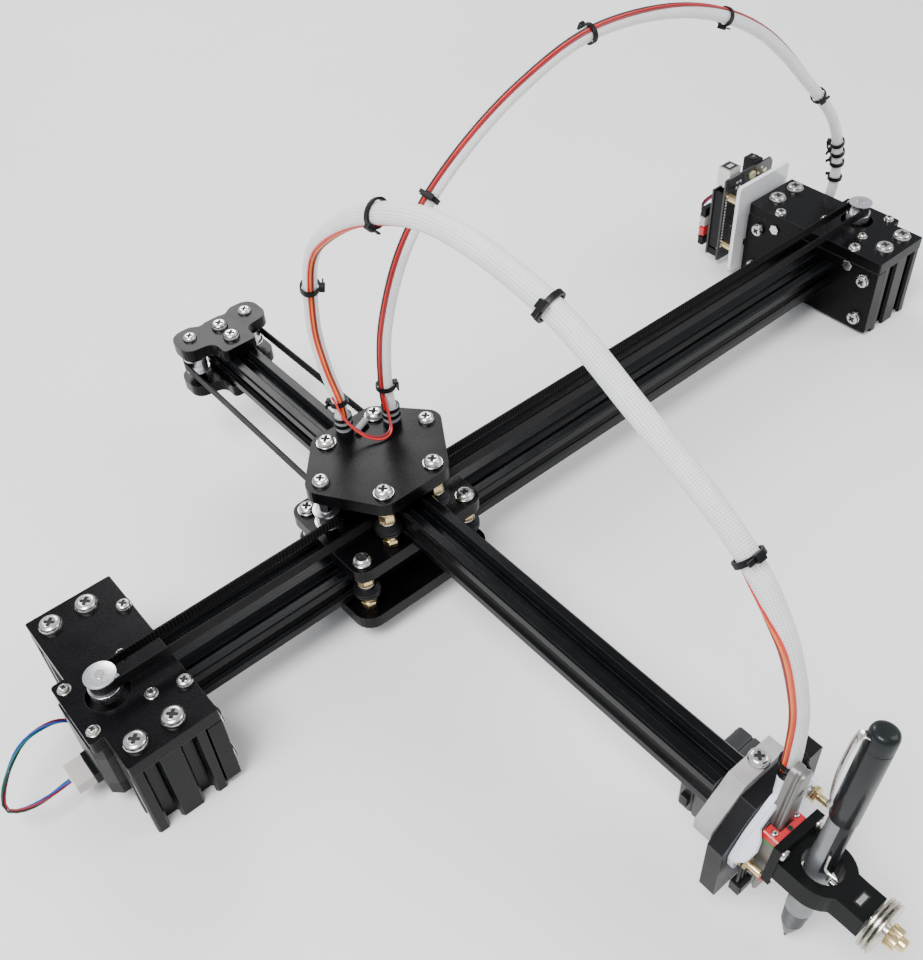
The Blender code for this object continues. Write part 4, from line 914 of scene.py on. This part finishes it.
def lift_block():
    """Ball carriage: steel body, red end caps with two small screws and a grease port, green seals."""
    shape = Shape()
    def section(grow):
        return [(-10 - grow, -273.9 - grow), (10 + grow, -273.9 - grow), (10 + grow, -265.9), (4.9, -265.9),
                (4.9, -270.8), (-4.9, -270.8), (-4.9, -265.9), (-10 - grow, -265.9)]
    def ring(grow, level):
        return [LIFT @ Vector((x, y, level)) for x, y in section(grow)]
    shape.loft([ring(0, -19.5), ring(0, -19.5), ring(0, 0.5), ring(0, 0.5)], RAIL)
    for low, high in ((0.6, 5.0), (-24.0, -19.6)):
        shape.loft([ring(-0.5, low), ring(0.15, low + 0.5), ring(0.15, high - 0.5), ring(-0.5, high)], RED)
    for low in (-0.5, -19.6):
        shape.loft([ring(0.2, low), ring(0.2, low + 1.1)], GREEN)
    for x in (-7.4, 7.4):
        shape.screw(LIFT @ Vector((x, -269.8, 5.0)), LIFT.to_3x3() @ Vector((0, 0, 1)), 1.6, 0.9, 0.7, floor=0.4)
    port = LIFT @ Vector((0, -272.2, 5.0))
    up = LIFT.to_3x3() @ Vector((0, 0, 1))
    shape.turned([(0.8, 0.0), (1.3, 0.0), (1.3, 0.5), (0.8, 0.5)], port, up, DARK_STEEL, 16, closed=True)
    # Painted shade in the grease port's bore.
    shape.turned([(0.8, 0.0), (0.8, 0.15)], port, up, HOLE_SHADE, 12)
    # Dark discs on the block's face: painted shade for its holes.
    for x in (-7.0, 7.0):
        for level in (-14.0, -5.0):
            shape.turned([(1.5, 0.0), (1.5, 0.08)], LIFT @ Vector((x, -273.9, level)), (0, -1, 0), HOLE_SHADE, 16)
    shape.turned([(1.4, 0.0), (1.4, 4.6), (1.1, 5.0)], LIFT @ Vector((8.2, -265.9, -11.0)), (0, 1, 0), STEEL, 16)
    made = shape.done("ball_carriage", "pen_carriage")
    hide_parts("lift_block")


def pen_holder():
    """Printed holder with a square nut sunk in its nose and screws through its back plate."""
    shape = Shape()
    for x in (-12.0, 12.0):
        for level in (-11.0, 4.5):
            spot = LIFT @ Vector((x, -278.2, level))
            shape.screw(spot, (0, -1, 0), 2.7, 1.7, 1.0, floor=0.6)
    frame4 = LIFT @ Matrix.Translation((0, -309.2, 0.5))
    # Painted shade in the pocket round the square nut.
    shape.box((-3.9, -1.7, -0.3), (3.9, 1.7, 0.06), HOLE_SHADE, frame4)
    shape.box((-2.9, -1.1, -0.25), (2.9, 1.1, 0.16), STEEL, frame4, 0.1)
    shape.done("holder_fittings", "pen_carriage")


def marker():
    """The pen: domed cap, steel clip, seams, ridged grip cone and a fine tip."""
    shape = Shape()
    y = -289.0
    up = LIFT.to_3x3() @ Vector((0, 0, 1))
    base = LIFT @ Vector((0, y, 0))
    cap = [(0.4, 87.4), (3.0, 87.3), (4.6, 86.9), (5.5, 86.0), (5.9, 84.6), (6.0, 81.0), (6.0, 78.2), (5.85, 78.0),
           (5.85, 77.7), (6.0, 77.5), (6.05, 33.6), (5.7, 33.0), (4.6, 33.0)]
    shape.turned(cap, base, up, PEN, 36)
    barrel = [(4.7, 33.2), (5.2, 31.0), (5.3, 12.0), (5.6, 11.0), (5.8, 4.0), (5.9, -18.0), (5.7, -18.3), (5.7, -18.9),
              (5.9, -19.2), (5.95, -32.5)]
    shape.turned(barrel, base, up, PEN_GREY, 32)
    cone = [(5.9, -32.4)]
    for i in range(9):
        level = -33.0 - i * 1.25
        reach = 5.45 - i * 0.1
        cone += [(reach + 0.25, level), (reach + 0.25, level - 0.6), (reach - 0.1, level - 0.75),
                 (reach - 0.1, level - 1.1)]
    cone += [(4.4, -45.0), (2.9, -49.5), (1.6, -53.0), (0.9, -53.4), (0.75, -56.0), (0.3, -56.5)]
    shape.turned(cone, base, up, PEN_CONE, 28)
    clip = LIFT @ Matrix.Translation((0, y, 0)) @ Matrix.Rotation(CLIP_TURN, 4, "Z")
    line = curve_through([(-5.4, 0, 83.4), (-7.6, 0, 84.6), (-9.2, 0, 82.8), (-10.1, 0, 76.0), (-10.4, 0, 66.0),
                          (-10.0, 0, 56.0), (-8.9, 0, 47.0), (-7.9, 0, 42.6), (-8.8, 0, 40.6)], 1.2)
    rings = []
    for i, (along, normal, other) in enumerate(transported(line)):
        flat = Vector((along.z, 0, -along.x))
        half = 2.0 - 0.7 * i / len(line)
        rings.append([clip @ (line[i] + flat * u + Vector((0, v, 0)))
                      for u, v in ((-0.35, -half), (0.2, -half), (0.35, -half + 0.3), (0.35, half - 0.3), (0.2, half),
                                   (-0.35, half))])
    shape.loft(rings, STEEL)
    band = LIFT @ Matrix.Translation((0, y, 0)) @ Matrix.Rotation(BAND_TURN, 4, "Z")
    rings = []
    for level, reach in ((32.8, 5.35), (32.0, 5.6), (11.5, 5.72), (2.5, 6.05), (1.9, 5.9)):
        rings.append([
            band @ Vector((r * math.cos(a), r * math.sin(a), level))
            for r in (reach, reach - 0.5) for a in (math.radians(d if r == reach else -d) for d in range(-50, 51, 4))
        ])
    shape.loft(rings, PEN)
    hook = curve_through([(5.1, -4.0, 16.0), (5.2, -4.0, 10.0), (5.5, -4.1, 7.2), (6.6, -3.8, 6.2), (8.4, -3.0, 6.0),
                          (10.6, -2.0, 5.9)], 0.8)
    shape.tube([band @ p for p in hook], 0.65, STEEL, 10)
    made = shape.done("marker_pen", "pen")
    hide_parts("pen")


def thumb_screw():
    """Threaded stem, a stack of steel discs, a collar and a knurled brass knob."""
    shape = Shape()
    centre = LIFT @ Vector((0, 0, -4.8))
    stem = [(1.4, 295.3)]
    for i in range(30):
        stem += [(2.0, 295.7 + i * 0.7), (1.65, 296.05 + i * 0.7)]
    shape.turned(stem, centre, (0, -1, 0), STEEL, 16)
    for low, high, reach in ((316.9, 318.1, 12.3), (318.9, 320.1, 12.5), (320.9, 322.1, 12.4)):
        disc = [(2.2, low), (reach - 0.35, low), (reach, low + 0.35), (reach, high - 0.35), (reach - 0.35, high),
                (2.2, high)]
        shape.turned(disc, centre, (0, -1, 0), ZINC, 48)
    # A dark hub between the discs: painted shade in the gaps between them.
    shape.turned([(8.5, 317.5), (8.5, 321.5)], centre, (0, -1, 0), DARK_STEEL, 32)
    shape.turned([(3.4, 321.9), (3.4, 323.4)], centre, (0, -1, 0), STEEL, 24)
    rings = []
    for level, reach in ((323.4, 4.7), (323.8, 5.0), (328.0, 5.0), (328.4, 4.6)):
        rings.append([
            centre + Vector((0, -level, 0)) + (reach if i % 2 else reach - 0.3)
            * Vector((math.cos(math.pi * i / 24), 0, math.sin(math.pi * i / 24))) for i in range(48)
        ])
    shape.loft(rings, BRASS)
    shape.turned([(3.0, 328.3), (3.0, 330.9), (2.5, 331.4), (0.4, 331.4)], centre, (0, -1, 0), BRASS, 24)
    made = shape.done("clamp_screw", "thumb_screw")
    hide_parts("thumb_screw")


def servo_detail():
    """Servo with a stepped case, seams, ear screws and its output hub."""
    shape = Shape()
    x, z = CARRIAGE_X + 13.9, DECK_TOP - 14.0
    front = -260.4 + BEAM_Y + 1.0
    shape.box((-20.0, -9.8, 0), (20.0, 9.8, 9.5), SERVO, Matrix.Translation((x, front, z)) @ Matrix.Rotation(-math.pi / 2, 4, "X"), 0.6)
    turn = Matrix.Translation((x, front, z)) @ Matrix.Rotation(-math.pi / 2, 4, "X")
    shape.box((-20.2, -10.0, 9.9), (20.2, 10.0, 27.5), SERVO, turn, 0.5)
    shape.box((-20.0, -9.9, 27.9), (20.0, 9.9, 35.8), SERVO, turn, 0.9)
    shape.box((-19.7, -9.6, 9.0), (19.7, 9.6, 28.5), BLACK, turn)
    shape.box((-27.2, -9.0, 7.4), (27.2, 9.0, 9.8), SERVO, turn, 0.4)
    for u in (-24.7, 24.7):
        for v in (-5.0, 5.0):
            shape.screw((x + u, front + 9.8, z + v), (0, 1, 0), 2.6, 1.8, 1.0, floor=0.8)
    for u in (-17.6, 17.6):
        for v in (-7.6, 7.6):
            shape.screw((x + u, front + 35.6, z + v), (0, 1, 0), 1.5, 0.7, 0.7, floor=0.2, material=DARK_STEEL)
    shape.box((-22.6, -3.5, 29.0), (-19.8, 3.5, 33.0), BLACK, turn, 0.3)
    made = shape.done("servo_case", "arm")
    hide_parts("lift_servo")


def hood(route, depths, shape):
    """Rounded lip that stands forward from the white plate's edge, deeper in its middle."""
    points = [Vector((x + CARRIAGE_X, 0, z)) for x, z in route]
    centre = Vector((CARRIAGE_X + 10.0, 0, 52.0))
    rings = []
    for i, (point, depth) in enumerate(zip(points, depths)):
        along = (points[min(i + 1, len(points) - 1)] - points[max(i - 1, 0)]).normalized()
        inner = Vector((along.z, 0, -along.x))
        if inner.dot(centre - point) < 0:
            inner = -inner
        face = BACKING_FACE - depth
        rings.append([
            Vector((0, y, 0)) + point + inner * reach for reach, y in (
                (0.0, BACKING_FACE + 1.0), (0.0, face + 1.6), (0.5, face + 0.5), (1.6, face), (2.6, face + 0.4),
                (3.2, face + 1.5), (3.2, BACKING_FACE + 1.0))
        ])
    shape.loft(rings, WHITE_GLOSS)


def head_fittings():
    """Nuts and washers on the white plate's studs, the tie that holds the sleeve's foot, plug and short wires."""
    shape = Shape()
    face = BACKING_FACE
    for x in (-11.4, 35.6):
        spot = (x + CARRIAGE_X, face, 49.7)
        shape.turned([(1.7, 0.0), (4.2, 0.0), (4.2, 0.7), (1.7, 0.7)], spot, (0, -1, 0), STEEL, 24, closed=True)
        shape.nut((spot[0], face - 0.7, spot[2]), (0, -1, 0), 6.9, 3.0, BRASS)
        shape.turned([(1.9, 3.6), (1.9, 9.6), (1.5, 10.1)], spot, (0, -1, 0), BRASS, 16)
    foot = (-103.0, -259.9 + BEAM_Y)
    shape.turned([(3.95, 84.0), (4.9, 84.0), (4.9, 88.5), (3.95, 88.5)], (*foot, 0), (0, 0, 1), BLACK, 20, closed=True)
    rings = []
    for level, x, y, wide, deep in ((62.0, -105.5, -187.2, 17.0, 0.8), (68.0, -105.2, -186.6, 14.5, 1.4),
                                    (74.0, -104.4, -185.6, 10.5, 2.4), (79.0, -103.5, -184.7, 6.8, 3.3),
                                    (82.5, -103.0, -184.2, 5.2, 3.9), (84.2, -103.0, -184.15, 4.6, 3.9)):
        rings.append([(x + wide * math.cos(a), y + deep * math.sin(a), level)
                      for a in (2 * math.pi * i / 28 for i in range(28))])
    shape.loft(rings, WHITE_GLOSS)
    hood([(-17.6, 54.0), (-16.6, 58.0), (-12.6, 64.5), (-9.0, 67.8), (-6.0, 70.5), (-1.0, 75.0), (3.0, 78.6)],
         (1.0, 4.4, 6.0, 4.8, 1.8, 1.8, 1.8), shape)
    hood([(38.2, 55.0), (34.0, 62.5), (29.5, 70.0), (25.0, 76.5), (18.5, 79.0)], (1.4, 3.4, 4.6, 4.6, 3.0), shape)
    x, y = on_carriage(12.4, -247.5)
    shape.screw((x, y, 81.9), (0, 0, 1), 4.95, 3.4, 2.4, floor=2.75)
    shape.done("head_fittings", "arm")
    plug = Shape()
    low = Matrix.Translation((CARRIAGE_X - 14.5, face - 3.6, 41.0))
    plug.box((-4.2, -2.6, -7.5), (4.2, 2.6, 0.0), BLACK, low, 0.4)
    plug.box((-3.4, -2.9, -6.2), (3.4, -2.4, -1.0), BLACK, low)
    for i, colour in enumerate(("black", "black", "black")):
        x = CARRIAGE_X - 17.0 + 2.5 * i
        plug.tube(curve_through([(x, face - 3.4, 40.5), (x - 0.6, face - 3.8, 44.5), (x + 1.5, face - 2.6, 49.5 + i),
                                 (x + 5.0, face - 1.4, 55.0 + i), (x + 10.0, face - 1.2, 62.0 + i),
                                 (-107.0 + i * 1.2, face - 1.2, 72.0), (-104.6 + i * 1.2, face - 0.9, 80.0)], 1.5),
                  0.65, WIRES[colour], 6)
    plug.done("head_plug", "arm")


def head():
    shape = Shape()
    screws_on_rail(shape)
    made = shape.done("steel_rail", "arm")
    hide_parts("lift_rail")
    lift_block()
    pen_holder()
    marker()
    thumb_screw()
    servo_detail()
    head_fittings()


head()


# Controller


def controller():
    """Board seen from its solder side, with a driver board, sockets and plugs behind it."""
    left, low, front = 252.9, 6.4, 148.95
    width, height = 53.3, 68.6
    shape = Shape()
    up = Matrix.Translation((left, front + 1.6, low)) @ Matrix.Rotation(math.pi / 2, 4, "X")
    edge = [(0, 1), (1, 0), (width - 1, 0), (width, 1), (width, height - 4), (width - 3, height), (1, height),
            (0, height - 1)]
    shape.prism(edge, 0, 1.6, BOARD, up)
    def dot(x, z, radius, material, rise=0.55):
        shape.turned([(radius, 0.0), (radius * 0.75, rise * 0.7), (radius * 0.3, rise)],
                     (left + x, front, low + z), (0, -1, 0), material, 8)
    for row, count, start in ((2.6, 18, 12.0), (50.7, 14, 8.0)):
        for i in range(count):
            dot(row, start + i * 2.54, 0.85, SOLDER)
    for i in range(14):
        for row in (22.0, 29.6):
            dot(row, 14.0 + i * 2.54, 0.7, SOLDER)
    for x, z in ((13.0, 58.0), (16.5, 58.0), (13.0, 62.5), (16.5, 62.5), (37.0, 60.5), (40.5, 64.0), (43.0, 60.5)):
        dot(x, z, 1.2, SOLDER)
    for x, z in ((9.0, 8.0), (36.5, 20.0), (38.0, 33.0), (41.0, 45.0), (14.5, 40.0), (12.0, 26.0), (33.0, 8.0)):
        dot(x, z, 0.55, SOLDER, 0.35)
    for x, z in ((5.0, 14.0), (48.3, 14.0), (5.0, 53.6), (48.3, 53.6)):
        shape.turned([(2.62, 0.3), (2.95, 0.3), (2.95, 9.5), (2.62, 9.5)], (left + x, front, low + z), (0, -1, 0), BRASS,
                     18, closed=True)
    shape.turned([(3.4, 0.0), (3.4, 1.1), (2.9, 1.5)], (left + 29.5, front, low + 62.0), (0, -1, 0), CRYSTAL, 24)
    dot(45.3, 60.0, 1.9, PAD, 0.2)
    for x, z in ((5.0, 14.0), (48.3, 14.0), (5.0, 53.6), (48.3, 53.6)):
        shape.turned([(1.9, 0.0), (1.9, 0.12)], (left + x, front, low + z), (0, -1, 0), SOLDER, 20)
        shape.screw((left + x, front - 0.1, low + z), (0, -1, 0), 2.7, 1.7, 1.0, floor=0.6)
    back = front + 1.6
    shape.box((left + 5.2, back, low + 58.8), (left + 16.8, back + 10.9, low + 74.2), STEEL, chamfer=0.4)
    # Painted shade in the socket's opening.
    shape.box((left + 6.5, back + 1.6, low + 74.1), (left + 15.5, back + 9.6, low + 74.35), HOLE_SHADE)
    shape.box((left + 8.4, back + 3.6, low + 74.2), (left + 13.6, back + 6.8, low + 74.5), NYLON)
    shape.box((left + 34.1, back, low + 57.0), (left + 42.9, back + 10.9, low + 70.4), BLACK, chamfer=0.4)
    shape.turned([(3.0, 70.35), (4.1, 70.35), (4.1, 70.75), (3.0, 70.75)], (left + 38.5, back + 5.6, low), (0, 0, 1),
                 BLACK, 24, closed=True)
    # Painted shade in the jack's opening.
    shape.turned([(3.0, 70.3), (3.0, 70.5)], (left + 38.5, back + 5.6, low), (0, 0, 1), HOLE_SHADE, 24)
    shape.turned([(0.9, 70.4), (0.9, 71.2)], (left + 38.5, back + 5.6, low), (0, 0, 1), STEEL, 12)
    for x in (1.6, 50.0):
        shape.box((left + x, back, low + 10), (left + x + 2.2, back + 9.0, low + 56), BLACK, chamfer=0.2)
    shape.box((left + 0.6, back + 9.0, low + 2.0), (left + width - 0.6, back + 10.6, low + 57.0), BOARD)
    shape.box((left + 1.2, back + 0.1, low + 2.5), (left + 3.4, back + 9.0, low + 8.0), BLACK)
    for x, z in ((11.0, 12.0), (30.0, 12.0), (11.0, 34.0), (30.0, 34.0)):
        spot = (left + x, back + 10.6, low + z)
        shape.box((spot[0], spot[1], spot[2]), (spot[0] + 15.0, spot[1] + 1.8, spot[2] + 18.5), WIRES["red"])
        shape.box((spot[0] + 3, spot[1] + 1.8, spot[2] + 5), (spot[0] + 12, spot[1] + 2.3, spot[2] + 14), ALUMINIUM)
        for fin in range(5):
            x0 = spot[0] + 3.2 + fin * 1.9
            shape.box((x0, spot[1] + 2.2, spot[2] + 5.2), (x0 + 0.9, spot[1] + 4.0, spot[2] + 13.8), ALUMINIUM)
    for i, colour in enumerate(("black", "red", "white", "black")):
        z = low + 8.0 + i * 8.2
        shape.box((left - 1.2, back + 13.2, z), (left + 8.6, back + 17.5, z + 7.2),
                  {"red": RED, "white": NYLON}.get(colour, BLACK), chamfer=0.3)
        for k in range(3):
            start = (left + 1.0, back + 17.0, z + 1.6 + 2.0 * k)
            shape.tube(curve_through([start, (left + 2.0, back + 20.0, z + 3.0 + 2.0 * k),
                                      (left + 8.0, back + 20.6 + 0.3 * k, z + 7.0 + k),
                                      (left + 24.0, back + 20.0, z + 9.0 + k),
                                      (left + 46.0, back + 12.5, low + 46.0 + k + i)], 4.0),
                       0.6, WIRES[("red", "black", "white", "blue")[(i + k) % 4]], 6)
    made = shape.done("controller_detail", "frame")
    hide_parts("controller_board")


controller()


# Finishes of the pieces whose CAD shape stays


def dress(name, material):
    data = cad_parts[name].data
    data.materials.clear()
    data.materials.append(material)
    for face in data.polygons:
        face.material_index = 0


FINISHES = {
    PLATE_BLACK: ["bracket_deck_left", "bracket_deck_right", "bracket_end_plate_left", "bracket_end_plate_right",
                  "carriage_bottom_plate", "carriage_middle_plate", "carriage_top_plate", "rear_top_plate",
                  "rear_bottom_plate"],
    PROFILE_BLACK_X: ["x_beam"],
    PROFILE_BLACK_Y: ["y_arm"],
    PROFILE_BLACK_Z: ["leg_left_front", "leg_left_rear", "leg_right_front", "leg_right_rear"],
    MOTOR: ["motor_left", "motor_right"],
    GREY: ["head_bracket"],
    HEAD_BLACK: ["head_plate"],
    WHITE_GLOSS: ["lift_backing_plate", "servo_horn"],
    HOLDER: ["pen_holder"],
    ACRYLIC: ["controller_mount"],
    NYLON: ["motor_lead_plug"],
}
for look, names in FINISHES.items():
    for part in names:
        dress(part, look)


# Floor and light


def studio():
    floor_look = finish("floor", (0.9, 0.895, 0.885), 0.6, vary=0.02, spot=3.0, grain=400, bump=0.02)
    bpy.ops.mesh.primitive_plane_add(size=12, location=(0, 0, -0.0004))
    floor = bpy.context.object
    floor.name = "floor"
    floor.data.materials.append(floor_look)
    lights = [
        ("key", (-0.9, -0.2, 1.6), 0.8, 42.0), ("fill", (1.3, -0.9, 1.4), 1.0, 14.0), ("rim", (0.5, 1.5, 1.2), 0.8, 20.0),
    ]
    for name, spot, size, power in lights:
        data = bpy.data.lights.new(name, "AREA")
        data.size = size
        data.energy = power
        light = bpy.data.objects.new(name, data)
        light.location = spot
        light.rotation_euler = (Vector((0, 0, 0.05)) - Vector(spot)).to_track_quat("-Z", "Y").to_euler()
        bpy.context.scene.collection.objects.link(light)
    world = bpy.data.worlds.new("studio")
    world.use_nodes = True
    world.node_tree.nodes["Background"].inputs["Color"].default_value = (0.86, 0.89, 0.95, 1)
    world.node_tree.nodes["Background"].inputs["Strength"].default_value = 0.8
    bpy.context.scene.world = world


studio()
